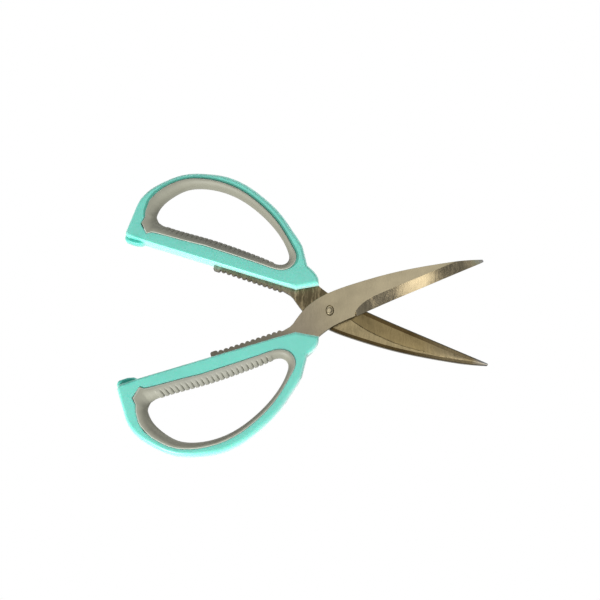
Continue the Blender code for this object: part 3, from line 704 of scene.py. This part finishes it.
def land_cutter(line, inward, width, sink, start, zone):
    """Sliver ground off the inner face along one side of the blade, deepest at that side."""
    edge = edge_line()
    back = back_line()[::-1]
    loops = []
    for x in np.linspace(start, BLADE_LENGTH + OVERSHOOT, LAND_SECTIONS):
        side = y_at(line, x)
        room = y_at(back, x) - y_at(edge, x)
        reach = min(width, max(LAND_LEAST, room * LAND_SHARE))
        slope = sink / width
        inner = (side + inward * (reach + LAND_OVERLAP), BLADE_INNER - LAND_OVERLAP * slope)
        outer = (side - inward * OVERSHOOT, BLADE_INNER + (reach + OVERSHOOT) * slope)
        below = BLADE_INNER - OVERSHOOT
        loops.append([(x, *inner), (x, *outer), (x, outer[0], below), (x, inner[0], below)])
    return lofted("land", loops, zone=zone)


def mirrored(section):
    """Whole section from its upper half, of points that end with a height."""
    return [(across, -height) for across, height in section[::-1]] + section


def rivet_cone(grow):
    """Upper shank and cone of the rivet in section, grown by grow."""
    head = BLADE_OUTER - RIVET_RIM
    cone = RIVET_HEAD_RADIUS - RIVET_RADIUS
    return [(RIVET_RADIUS + grow, head - cone), (RIVET_HEAD_RADIUS + grow, head)]


def stretch_head(mesh, shift=0.0):
    """Upper rivet head pressed slightly oval, its long axis across the picture's long side."""
    turn = Matrix.Rotation(math.radians(-REST_ANGLE), 3, "Z")
    for vertex in mesh.vertices:
        if vertex.co.z > RIVET_UPPER:
            seen = turn.inverted() @ vertex.co
            seen.x = seen.x * RIVET_OVAL[0] - shift
            seen.y = seen.y * RIVET_OVAL[1] + shift
            vertex.co = turn @ seen
    return mesh


def rivet_mesh():
    """Rivet with slightly domed heads, each inside a thin turned groove."""
    dome = [(RIVET_HEAD_RADIUS - inward, BLADE_OUTER + rise) for inward, rise in RIVET_HEAD]
    return stretch_head(turned("pivot_rivet", mirrored(rivet_cone(0) + dome)), RIVET_SHIFT)


def rivet_cutter(oval):
    """Countersunk pivot hole of a blade."""
    top = BLADE_OUTER + OVERSHOOT
    ends = [(RIVET_HEAD_RADIUS + RIVET_GAP, top), (0, top)]
    hole = turned("rivet_hole", mirrored(rivet_cone(RIVET_GAP) + ends))
    return stretch_head(hole) if oval else hole


def blade_mesh(looks, oval):
    """Blade and toothed tang in one plate, with each ground surface in a look of its own."""
    body = plate("blade", blade_outline(), BLADE_INNER, BLADE_OUTER, PLATE_CHAMFER, looks)
    edge = edge_line()
    back = back_line()[::-1]
    body = combine(
        body, "DIFFERENCE", bevel_cutter(), hollow_cutter(),
        land_cutter(edge, 1, EDGE_LAND, LAND_DEPTH, EDGE_LAND_START, LAND_ZONE),
        land_cutter(back, -1, BACK_LAND, LAND_DEPTH, BACK_LAND_START, LAND_ZONE),
        land_cutter(edge, 1, EDGE_RIM, RIM_DEPTH, EDGE_LAND_START, RIM_ZONE),
        land_cutter(back, -1, BACK_RIM, RIM_DEPTH, BACK_LAND_START, RIM_ZONE),
        rivet_cutter(oval))
    clean_slivers(body)
    for face in body.polygons:
        if face.material_index == FACE_ZONE:
            if face.normal.z < -FLAT_NORMAL:
                face.material_index = INNER_ZONE
            elif face.normal.z < FLAT_NORMAL:
                face.material_index = SIDE_ZONE
    return body


class FingerLoop:
    """Finger opening, with the rays that carry grip and shell outwards from it."""

    def __init__(self):
        table = np.array(FINGER_STATIONS + FINGER_STATIONS[:1], dtype=float)
        self.points = np.stack([-FINGER_FRONT - table[:, 0] * FINGER_LENGTH,
                                -FINGER_TOP - table[:, 1] * FINGER_DEPTH], axis=1)
        self.widths = table[:, 2:]
        self.knots = chord_knots(self.points)
        self.length = self.knots[-1]
        self.point_bend = fit_spline(self.knots, self.points, closed=True)
        self.width_bend = fit_spline(self.knots, self.widths, closed=False)
        dense = np.linspace(0, self.length, int(self.length / SAMPLE_STEP))
        self.dense = dense
        places = facet_places(self.point(dense), dense, SEAM_TURN, SEAM_RUN)
        near, far = CORNER_RANGE
        places = places[(places > far) & (places < self.length + near)]
        places = np.concatenate([places, CORNER_RANGE])
        point, outward, grip, _ = self.rays(places)
        seam = np.column_stack([places, point + outward * grip[:, None]])
        seam = np.vstack([seam, CORNER_SEAM])
        seam[:, 0] %= self.length
        seam = seam[np.argsort(seam[:, 0])]
        self.seam_places, self.seam = seam[:, 0], seam[:, 1:].T

    def point(self, places):
        """Points of the opening at distances round it."""
        return read_spline(self.knots, self.points, self.point_bend, places % self.length)

    def rays(self, places):
        """Points of the opening, directions square to it, grip widths and shell widths."""
        tangent = self.point(places + SAMPLE_STEP) - self.point(places - SAMPLE_STEP)
        tangent /= np.linalg.norm(tangent, axis=1)[:, None]
        outward = np.stack([-tangent[:, 1], tangent[:, 0]], axis=1)
        widths = read_spline(self.knots, self.widths, self.width_bend, places % self.length)
        return self.point(places), outward, widths[:, 0], widths[:, 1]

    def at(self, places):
        """Points of the opening, directions to the seam and grip widths."""
        point = self.point(places)
        seam = [np.interp(places, self.seam_places, line, period=self.length) for line in self.seam]
        seam = np.stack(seam, axis=1)
        grip = np.linalg.norm(seam - point, axis=1)
        return point, (seam - point) / grip[:, None], grip

    def even_places(self):
        """Distances at which the smooth opening gets a facet corner."""
        return facet_places(self.point(self.dense), self.dense)[:-1]

    def places(self):
        """The even places and those of the seam's corners, none of them close together."""
        even = self.even_places()
        away = np.abs(even[:, None] - self.seam_places).min(axis=1)
        return np.union1d(even[away > CORNER_SPACING], self.seam_places)

    def place_of_x(self, x):
        """Distance of the point of the straight side that lies at x."""
        dense = np.linspace(0, self.knots[FRONT_STATION], SIDE_SAMPLES)
        return float(np.interp(x, self.point(dense)[:, 0], dense))

    def seam_gap(self, places):
        """Gap between grip and shell, wider beside the pointed corner where the grip shrank."""
        gap = np.full(len(places), SEAM_GAP)
        for behind, extra, length in CORNER_GAPS:
            away = (places + behind) % self.length
            away = np.minimum(away, self.length - away)
            gap += extra * np.exp(-(away / length) ** 4)
        return gap

    def reach(self, places, beyond):
        """Points at the seam between grip and shell, or beyond it by a distance."""
        point, outward, grip = self.at(places)
        return point + outward * (grip + beyond)[:, None]

    def outer(self, places):
        """Points of the shell's outer wall."""
        point, outward, grip, shell = self.rays(places)
        return point + outward * (grip + shell)[:, None]


def shell_outline(loop):
    """Outline of the handle shell, anticlockwise, without the stop lug, and its edge rounding."""
    start, end = loop.knots[NECK_STATION], loop.knots[REAR_STATION]
    between = [place for place in loop.even_places()
               if start + FACET_RUN / 2 < place < end - FACET_RUN / 2]
    places = np.array([start] + between + [end])
    sweep = loop.outer(places)
    share = np.clip(np.minimum(places - start, end - places) / SHELL_ROUND_RUN, 0, 1)
    widest = np.minimum(SHELL_ARC_ROUND, loop.rays(places)[3] * SHELL_ROUND_SHARE)
    swept = SHELL_ROUND + (widest - SHELL_ROUND) * share
    rear = sweep[-1][0]
    lobe = smooth_run([NOSE_TIP] + list(NOSE_LOBE))
    clear = np.linalg.norm(lobe - np.array(NOSE_TIP), axis=1) > SHELL_ROUND
    front_corner = (-FRONT_CORNER, wall_y(-FRONT_CORNER))
    rear_corner = (rear, wall_y(rear))
    corner = round_corner(sweep[-1], rear_corner, front_corner, SHELL_ROUND + CORNER_SPARE)
    wall = [(x, wall_y(x)) for x in np.linspace(corner[-1][0], -FRONT_CORNER, WALL_POINTS)[1:-1]]
    runs = [min(x - corner[-1][0], -FRONT_CORNER - x) / SHELL_ROUND_RUN for x, _ in wall]
    outline = [NOSE_TIP] + list(lobe[clear]) + list(sweep) + corner + wall + [front_corner]
    widths = [SHELL_ROUND] * (1 + sum(clear)) + list(swept) + [SHELL_ROUND] * len(corner)
    widths += [SHELL_ROUND + (SHELL_WALL_ROUND - SHELL_ROUND) * min(1, run) for run in runs]
    widths += [SHELL_ROUND]
    return [tuple(point) for point in outline[::-1]], widths[::-1]


def lug_outline(rear):
    """Outline of the stop lug, from inside the shell up to its crest."""
    crest = -LUG_TOP_GAP / 2
    root = wall_y(rear) - LUG_ROOT
    side = rear + TANG_GAP
    corners = [
        (side, root),
        (-LUG_FRONT, root),
        (-LUG_FRONT, wall_y(-LUG_FRONT) - LUG_SUNK),
        (-LUG_SHOULDER, crest - LUG_SHOULDER_DROP),
        (-LUG_CREST_FRONT, crest),
    ]
    top = (-LUG_CREST_REAR, crest)
    base = (side, wall_y(rear))
    return corners + round_corner(corners[-1], top, base, LUG_ROUND + CORNER_SPARE) + [base]


def seam_cutter(loop):
    """Opening of the shell that the grip fills, its upper and lower edges slightly rounded."""
    half = SHELL_THICKNESS / 2
    flare = []
    for step in range(SEAM_STEPS + 1):
        angle = math.pi / 2 * step / SEAM_STEPS
        flare.append((SEAM_ROUND * (1 - math.cos(angle)),
                      half - BAND_SINK - SEAM_ROUND * (1 - math.sin(angle))))
    places = loop.places()
    wider = (loop.seam_gap(places) - SEAM_GAP) * CORNER_GAP_SHELL
    share = np.interp(-loop.reach(places, 0)[:, 1], (-BAND_START, -BAND_FULL), (0, 1))
    band = SEAM_ROUND + BAND_LEAST + BAND_WIDTH * share
    slope = [(band, half), (band + BAND_FLARE, half + OVERSHOOT)]
    loops = []
    for beyond, height in mirrored(flare + slope):
        loops.append([(x, y, height) for x, y in loop.reach(places, beyond + wider)])
    cutter = lofted("seam", loops)
    # Faces of the slope beside the seam, towards the arc, take the second look: painted shade on
    # the upper handle
    for face in cutter.polygons:
        if abs(face.center.z) > half - BAND_SINK - SEAM_ROUND and face.center.y < BAND_START:
            face.material_index = 1
    return cutter


def tang_cutter():
    """Pocket of the shell round the buried edge of the tang, open to the other half."""
    end = -TANG_END
    seat = [(end, OVERSHOOT), (end, wall_y(end) - TANG_SEAT), *TANG_ROOT, *HEEL]
    path = [tuple(point) for point in offset_path(seat, TANG_GAP, closed=False)]
    path.append((path[-1][0], OVERSHOOT))
    return plate("tang_pocket", path, BLADE_INNER - TANG_GAP, BLADE_OUTER + TANG_GAP)


def shell_mesh(loop, looks):
    """Moulded handle shell with its stop lug, tang pocket and grip opening."""
    outline, widths = shell_outline(loop)
    body = rounded_plate("shell", outline, SHELL_THICKNESS, widths, SHELL_STEEPNESS,
                         SHELL_ROUND_STEPS, looks)
    outline = lug_outline(min(point[0] for point in outline))
    widths = [LUG_ROUND] * len(outline)
    lug = rounded_plate("lug", outline, LUG_THICKNESS, widths, 1, LUG_ROUND_STEPS)
    body = combine(body, "UNION", lug)
    return combine(body, "DIFFERENCE", seam_cutter(loop), tang_cutter())


def rib_lift(loop, place):
    """Height of the ribs at a distance round the opening, as a share of the full height."""
    x = loop.point(place)[0][0]
    phase = (-x - RIB_FRONT) / RIB_PITCH + 0.5
    if place > loop.knots[FRONT_STATION] or not 0 <= phase <= RIB_COUNT:
        return 0.0
    share = phase % 1
    rise = min(1, share / RIB_GROOVE, (1 - share) / RIB_GROOVE / RIB_REAR_FLANK)
    end = min(1, phase, RIB_COUNT - phase)
    return 1 - (1 - rise ** RIB_ROUNDNESS) * (1 + RIB_SINK / RIB_HEIGHT * end)


def grip_mesh(loop, looks):
    """Soft ring that lines the finger opening, with slanting ribs on its straight side."""
    ribs = [loop.place_of_x(-RIB_FRONT - RIB_PITCH * (step / RIB_STEPS - 0.5))
            for step in range(RIB_COUNT * RIB_STEPS + 1)]
    others = [place for place in loop.places()
              if not min(ribs) - RIB_CLEAR < place < max(ribs) + RIB_CLEAR]
    places = np.array(sorted(ribs + others))
    lift = RIB_HEIGHT * np.array([rib_lift(loop, place) for place in places])
    lean = np.tan(np.radians(np.interp(loop.point(places)[:, 0], *zip(*RIB_LEANS))))
    outside = np.maximum(0, np.maximum(min(ribs) - places, places - max(ribs)))
    near = np.clip(1 - outside / RIB_LEAN_FADE, 0, 1)
    lean = np.where(places > loop.knots[FRONT_STATION], 0, lean * near)
    half = GRIP_THICKNESS / 2
    columns = []
    straight = loop.at(places)[2]
    for step in range(GRIP_STEPS + 1):
        angle = math.pi * (step / GRIP_STEPS - 0.5)
        depth = (straight - SEAM_GAP) * (1 - GRIP_FLAT_SHARE) * math.cos(angle)
        point, outward, grip = loop.at(places + lean * depth)
        width = (grip - SEAM_GAP) * (1 - GRIP_FLAT_SHARE)
        fade = np.interp(abs(math.degrees(angle)), RIB_REACH, (1, 0)) ** RIB_FADE
        across = width * (1 - math.cos(angle)) - lift * fade * math.cos(angle)
        height = (half + lift * fade * RIB_TOP) * math.sin(angle)
        height = np.clip(height, -half, half)
        columns.append(np.column_stack([point + outward * across[:, None], height]))
    point, outward, grip = loop.at(places)
    wall = grip - loop.seam_gap(places)
    side = [(GRIP_EDGE * (1 - math.sin(a)), half - GRIP_CROWN - GRIP_EDGE * (1 - math.cos(a)))
            for a in np.linspace(0, math.pi / 2, GRIP_EDGE_POINTS)]
    for inset, height in side + [(inset, -height) for inset, height in side[::-1]]:
        ring = point + outward * (wall - inset)[:, None]
        columns.append(np.column_stack([ring, np.full(len(places), height)]))
    loops = np.stack(columns, axis=1)
    mesh = lofted("grip", loops, looks, ring=True)
    # The grip's side along the seam takes the second look, a painted highlight
    for face in mesh.polygons:
        face.material_index = int(GRIP_STEPS <= face.index % len(columns) < len(columns) - 1)
    return mesh


def set_inputs(tree, node, inputs):
    """Inputs of a node set to values or linked to the outputs of other nodes."""
    for key, value in inputs.items():
        if isinstance(value, bpy.types.NodeSocket):
            tree.links.new(value, node.inputs[key])
        else:
            node.inputs[key].default_value = value


def add_node(tree, kind, inputs, **settings):
    """First output of a new shader node with these inputs and settings."""
    node = tree.nodes.new(kind)
    for key, value in settings.items():
        setattr(node, key, value)
    set_inputs(tree, node, inputs)
    return node.outputs[0]


def maths(tree, operation, *values, kind="ShaderNodeMath"):
    """Output of a node that does an operation on numbers, or on vectors."""
    return add_node(tree, kind, dict(enumerate(values)), operation=operation)


def new_look(name):
    """New material, its node tree, its Principled shader and its closed-frame coordinates."""
    look = bpy.data.materials.new(name)
    look.use_nodes = True
    tree = look.node_tree
    place = tree.nodes.new("ShaderNodeAttribute")
    place.attribute_name = "closed"
    return look, tree, tree.nodes["Principled BSDF"], place.outputs["Vector"]


def noise(tree, place, scale, detail, roughness=0.5):
    """Noise over the closed-frame coordinates, with a scale per axis and millimetre."""
    scaled = maths(tree, "MULTIPLY", place, scale, kind=VECTOR_MATHS)
    return add_node(tree, "ShaderNodeTexNoise",
                    {"Vector": scaled, "Scale": 1.0, "Detail": detail, "Roughness": roughness})


def blend(tree, outputs, weights):
    """Sum of outputs, each times its weight."""
    total = 0.0
    for output, weight in zip(outputs, weights):
        total = maths(tree, "MULTIPLY_ADD", output, weight, total)
    return total


def ranged(tree, value, old, new=(0, 1)):
    """Value mapped from an old range to a new one, kept inside it."""
    return add_node(tree, "ShaderNodeMapRange", {
        "Value": value, "From Min": old[0], "From Max": old[1], "To Min": new[0], "To Max": new[1]})


def rough_range(tree, value, roughness, shares):
    """Roughness that varies with a noise between two shares of itself."""
    return ranged(tree, value, ROUGHNESS_RANGE, [roughness * share for share in shares])


def mottled(tree, factor, color, contrast):
    """Colour that gets lighter by a contrast as the factor goes from 0 to 1."""
    ramp = tree.nodes.new("ShaderNodeValToRGB")
    elements = ramp.color_ramp.elements
    elements.new(0.5)
    for element, share in zip(elements, (1 - contrast, 1, 1 + contrast)):
        element.color = (*(min(1, channel * share) for channel in color), 1)
    tree.links.new(factor, ramp.inputs["Fac"])
    return ramp.outputs["Color"]


def tinted(tree, tone, share, tint):
    """Colour multiplied by a tint to a share. Sockets 6 and 7 of the Mix node are colours."""
    mixed = add_node(tree, "ShaderNodeMix", {0: share, 6: tone, 7: (*tint, 1)},
                     data_type="RGBA", blend_type="MULTIPLY")
    return mixed.node.outputs[2]


def bumped(tree, height, depth):
    """Bump of a depth in millimetres."""
    return add_node(tree, "ShaderNodeBump",
                    {"Strength": 1.0, "Distance": depth * MM, "Height": height})


def steel_look(name, color, contrast, roughness, marks, depth, ends=(), scars=()):
    """Ground steel with marks across the blade, fine grain and painted light and shade that change
    slowly along it.
    """
    look, tree, principled, place = new_look(name)
    waves = noise(tree, place, *STEEL_WAVES)
    x, y, z = add_node(tree, "ShaderNodeSeparateXYZ", {0: place}).node.outputs
    slant = blend(tree, (x, y, waves), (1.0, -MARK_SLANT, MARK_WAVE))
    slanting = add_node(tree, "ShaderNodeCombineXYZ", {"X": slant, "Y": y, "Z": z})
    streaks = noise(tree, slanting, (marks, *MARK_RUN), *MARK_FINENESS)
    grain = noise(tree, place, *STEEL_GRAIN)
    cloud = noise(tree, place, *STEEL_CLOUD)
    factor = ranged(tree, blend(tree, (streaks, grain, cloud), STEEL_TONE), STEEL_TONE_RANGE)
    tone = mottled(tree, factor, color, contrast)
    # Painted light and shade: the tone is tinted lighter or darker along X
    for start, full, tint in ends:
        tone = tinted(tree, tone, ranged(tree, x, (start, full)), tint)
    for middle, reach, tint in scars:
        coarse = noise(tree, slanting, *STEEL_SCARS)
        away = maths(tree, "ABSOLUTE", maths(tree, "SUBTRACT", x, middle))
        share = maths(tree, "MULTIPLY", ranged(tree, away, (reach, reach * SCAR_CORE)),
                      ranged(tree, coarse, SCAR_RANGE))
        tone = tinted(tree, tone, share, tint)
    rough = blend(tree, (streaks, grain), STEEL_ROUGHNESS)
    set_inputs(tree, principled, {
        "Base Color": tone, "Metallic": 1.0,
        "Roughness": rough_range(tree, rough, roughness, STEEL_ROUGHNESS_SHARES),
        "Normal": bumped(tree, blend(tree, (streaks, grain), STEEL_BUMP), depth)})
    return look


def plastic_look(name, color, surface, painted_light_and_shade=()):
    """Moulded plastic or rubber with faint clouding, a fine moulded grain and painted light and
    shade.
    """
    look, tree, principled, place = new_look(name)
    painted_wall_light, contrast, roughness, depth, sheen, coat, glow = surface
    grain = noise(tree, place, *PLASTIC_GRAIN)
    cloud = noise(tree, place, *PLASTIC_CLOUD)
    factor = ranged(tree, blend(tree, (grain, cloud), PLASTIC_TONE), PLASTIC_TONE_RANGE)
    tone = mottled(tree, factor, color, contrast)
    # Painted light and shade: steep walls tinted by how little the normal points up
    facing = add_node(tree, "ShaderNodeNewGeometry", {}).node.outputs["Normal"]
    level = add_node(tree, "ShaderNodeSeparateXYZ", {0: facing}).node.outputs["Z"]
    level = maths(tree, "ABSOLUTE", level)
    tone = tinted(tree, tone, ranged(tree, level, PAINTED_WALL_RANGE), painted_wall_light)
    # Painted light and shade in ovals round given places
    for middle, radii, tint in painted_light_and_shade:
        away = maths(tree, "SUBTRACT", place, middle, kind=VECTOR_MATHS)
        away = maths(tree, "DIVIDE", away, radii, kind=VECTOR_MATHS)
        away = maths(tree, "LENGTH", away, kind=VECTOR_MATHS).node.outputs["Value"]
        tone = tinted(tree, tone, ranged(tree, away, PAINTED_SPOT_RANGE), tint)
    rough = blend(tree, (grain, cloud), PLASTIC_ROUGHNESS)
    set_inputs(tree, principled, {
        "Base Color": tone, "Normal": bumped(tree, grain, depth),
        "Roughness": rough_range(tree, rough, roughness, PLASTIC_ROUGHNESS_SHARES),
        "Specular IOR Level": PLASTIC_SPECULAR, "Sheen Weight": sheen, "Coat Weight": coat,
        "Coat Roughness": COAT_ROUGHNESS, "Subsurface Weight": glow,
        "Subsurface Radius": GLOW_RADIUS, "Subsurface Scale": GLOW_DEPTH * MM})
    return look


def finish_mesh(mesh, matrix, sharp):
    """Copy of a closed-frame mesh in its place, smooth except at its sharp edges."""
    placed = mesh.copy()
    count = len(placed.vertices)
    places = np.empty(count * 3, dtype=np.float32)
    placed.vertices.foreach_get("co", places)
    placed.attributes.new("closed", "FLOAT_VECTOR", "POINT").data.foreach_set("vector", places)
    placed.transform(matrix @ Matrix.Scale(MM, 4))
    placed.shade_smooth()
    placed.set_sharp_from_angle(angle=math.radians(sharp))
    return placed


def add_piece(name, mesh, matrix, sharp, body, node):
    """Visible piece on a body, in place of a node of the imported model."""
    item = add_object(name, finish_mesh(mesh, matrix, sharp))
    weighted = item.modifiers.new("weighted_normals", "WEIGHTED_NORMAL")
    weighted.keep_sharp = True
    weighted.weight = NORMAL_WEIGHT
    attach(item, body)
    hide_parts(node)


def add_light(name, power, place, target, size, color=(1, 1, 1)):
    """Rectangular soft light at a place that shines at a target."""
    data = bpy.data.lights.new(name, "AREA")
    data.energy = power
    data.color = color
    data.shape = "RECTANGLE"
    data.size, data.size_y = size
    item = add_object(name, data)
    item.location = place
    item.rotation_euler = (Vector(target) - Vector(place)).to_track_quat("-Z", "Y").to_euler()


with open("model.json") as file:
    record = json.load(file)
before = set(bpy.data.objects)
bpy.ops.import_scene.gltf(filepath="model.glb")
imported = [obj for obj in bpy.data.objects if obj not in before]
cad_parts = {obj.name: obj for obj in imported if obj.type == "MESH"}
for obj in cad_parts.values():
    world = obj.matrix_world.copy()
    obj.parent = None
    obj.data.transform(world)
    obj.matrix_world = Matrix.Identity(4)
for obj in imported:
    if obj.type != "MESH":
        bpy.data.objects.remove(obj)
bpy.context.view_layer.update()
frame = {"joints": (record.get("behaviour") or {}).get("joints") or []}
pivot = Vector(frame["joints"][0]["pos_m"])

steel = [steel_look(*settings) for settings in STEEL_LOOKS]
mint = plastic_look("shell_plastic", MINT, MINT_SURFACE, [LUG_PAINTED_SHADE])
seam_shade_mint = plastic_look("shell_plastic_seam_shade", SEAM_SHADE_MINT, MINT_SURFACE, [LUG_PAINTED_SHADE])
rubber_edge = plastic_look("grip_rubber_edge", EDGE_RUBBER, EDGE_SURFACE)

loop = FingerLoop()
shell = shell_mesh(loop, (mint, seam_shade_mint))
rivet = rivet_mesh()
rivet.materials.append(steel_look(*RIVET_LOOK))

opening = math.radians(REST_ANGLE)
at_pivot = Matrix.Translation(pivot)
front = at_pivot @ Matrix.Rotation(opening, 4, "Z")
rear = at_pivot @ Matrix.Rotation(-opening, 4, "Z") @ Matrix.Rotation(math.pi, 4, "X")
for side, matrix in (("front", front), ("rear", rear)):
    body = side + "_half"
    blade = blade_mesh(steel, side == "front")
    add_piece(side + "_blade_steel", blade, matrix, BLADE_SHARP, body, side + "_blade")
    # Painted shade: the slope beside the seam is painted deep green on the upper handle only
    shell.materials[1] = seam_shade_mint if side == "rear" else mint
    add_piece(side + "_handle_shell", shell, matrix, SHELL_SHARP, body,
              side + "_handle")
    # Each half's grip gets its own copy of the rubber, with painted shade or light on its bar
    rubber = plastic_look(side + "_grip_rubber", GREY_RUBBER, GREY_SURFACE,
                          [(*BAR_PLACE, BAR_TINTS[side])])
    grip = grip_mesh(loop, (rubber, rubber_edge))
    add_piece(side + "_grip_ring", grip, matrix, GRIP_SHARP, body, side + "_grip")
add_piece("pivot_rivet_steel", rivet, front, SHELL_SHARP, "front_half",
          "pivot_rivet")

target = Vector((pivot.x - PLANE_PIVOT[0], pivot.y - PLANE_PIVOT[1], PLANE_HEIGHT))
roll = Matrix.Rotation(-PLANE_ROLL, 4, "Z")
about = Matrix.Translation(Vector((pivot.x, pivot.y, 0)))
eye = target + Vector((0, -math.sin(CAMERA_TILT), math.cos(CAMERA_TILT))) * CAMERA_DISTANCE
look_at = (target - eye).to_track_quat("-Z", "Y").to_matrix().to_4x4()
camera_data = bpy.data.cameras.new("camera")
camera_data.sensor_width = SENSOR_WIDTH
camera_data.lens = FOCAL_PIXELS / PIXELS * SENSOR_WIDTH
camera_data.shift_x = -0.5 / PIXELS
camera_data.shift_y = 0.5 / PIXELS
camera_data.clip_end = CAMERA_FAR
camera = add_object("camera", camera_data)
camera.matrix_world = about @ roll @ about.inverted() @ Matrix.Translation(eye) @ look_at
bpy.context.scene.camera = camera

floor_look, floor_tree, floor_shader, _ = new_look("floor_white")
rays = add_node(floor_tree, "ShaderNodeLightPath", {}).node.outputs
seen = blend(floor_tree, (rays["Is Camera Ray"], rays["Is Glossy Ray"]), (1.0, 1.0))
set_inputs(floor_tree, floor_shader, {
    "Base Color": BLACK, "Specular IOR Level": 0.0, "Roughness": 1.0, "Emission Color": WHITE,
    "Emission Strength": ranged(floor_tree, seen, (0, 1), FLOOR_GLOW)})
floor_mesh = bpy.data.meshes.new("floor")
corners = [(x * FLOOR_REACH, y * FLOOR_REACH, 0) for x, y in ((-1, -1), (1, -1), (1, 1), (-1, 1))]
floor_mesh.from_pydata(corners, [], [range(len(corners))])
floor_mesh.materials.append(floor_look)
floor = add_object("floor", floor_mesh)

world = bpy.data.worlds.new("studio")
world.use_nodes = True
set_inputs(world.node_tree, world.node_tree.nodes["Background"],
           {"Color": WHITE, "Strength": WORLD_LIGHT})
bpy.context.scene.world = world
for name, settings in LIGHTS.items():
    add_light(name, *settings)
bpy.context.scene.view_settings.view_transform = "Standard"
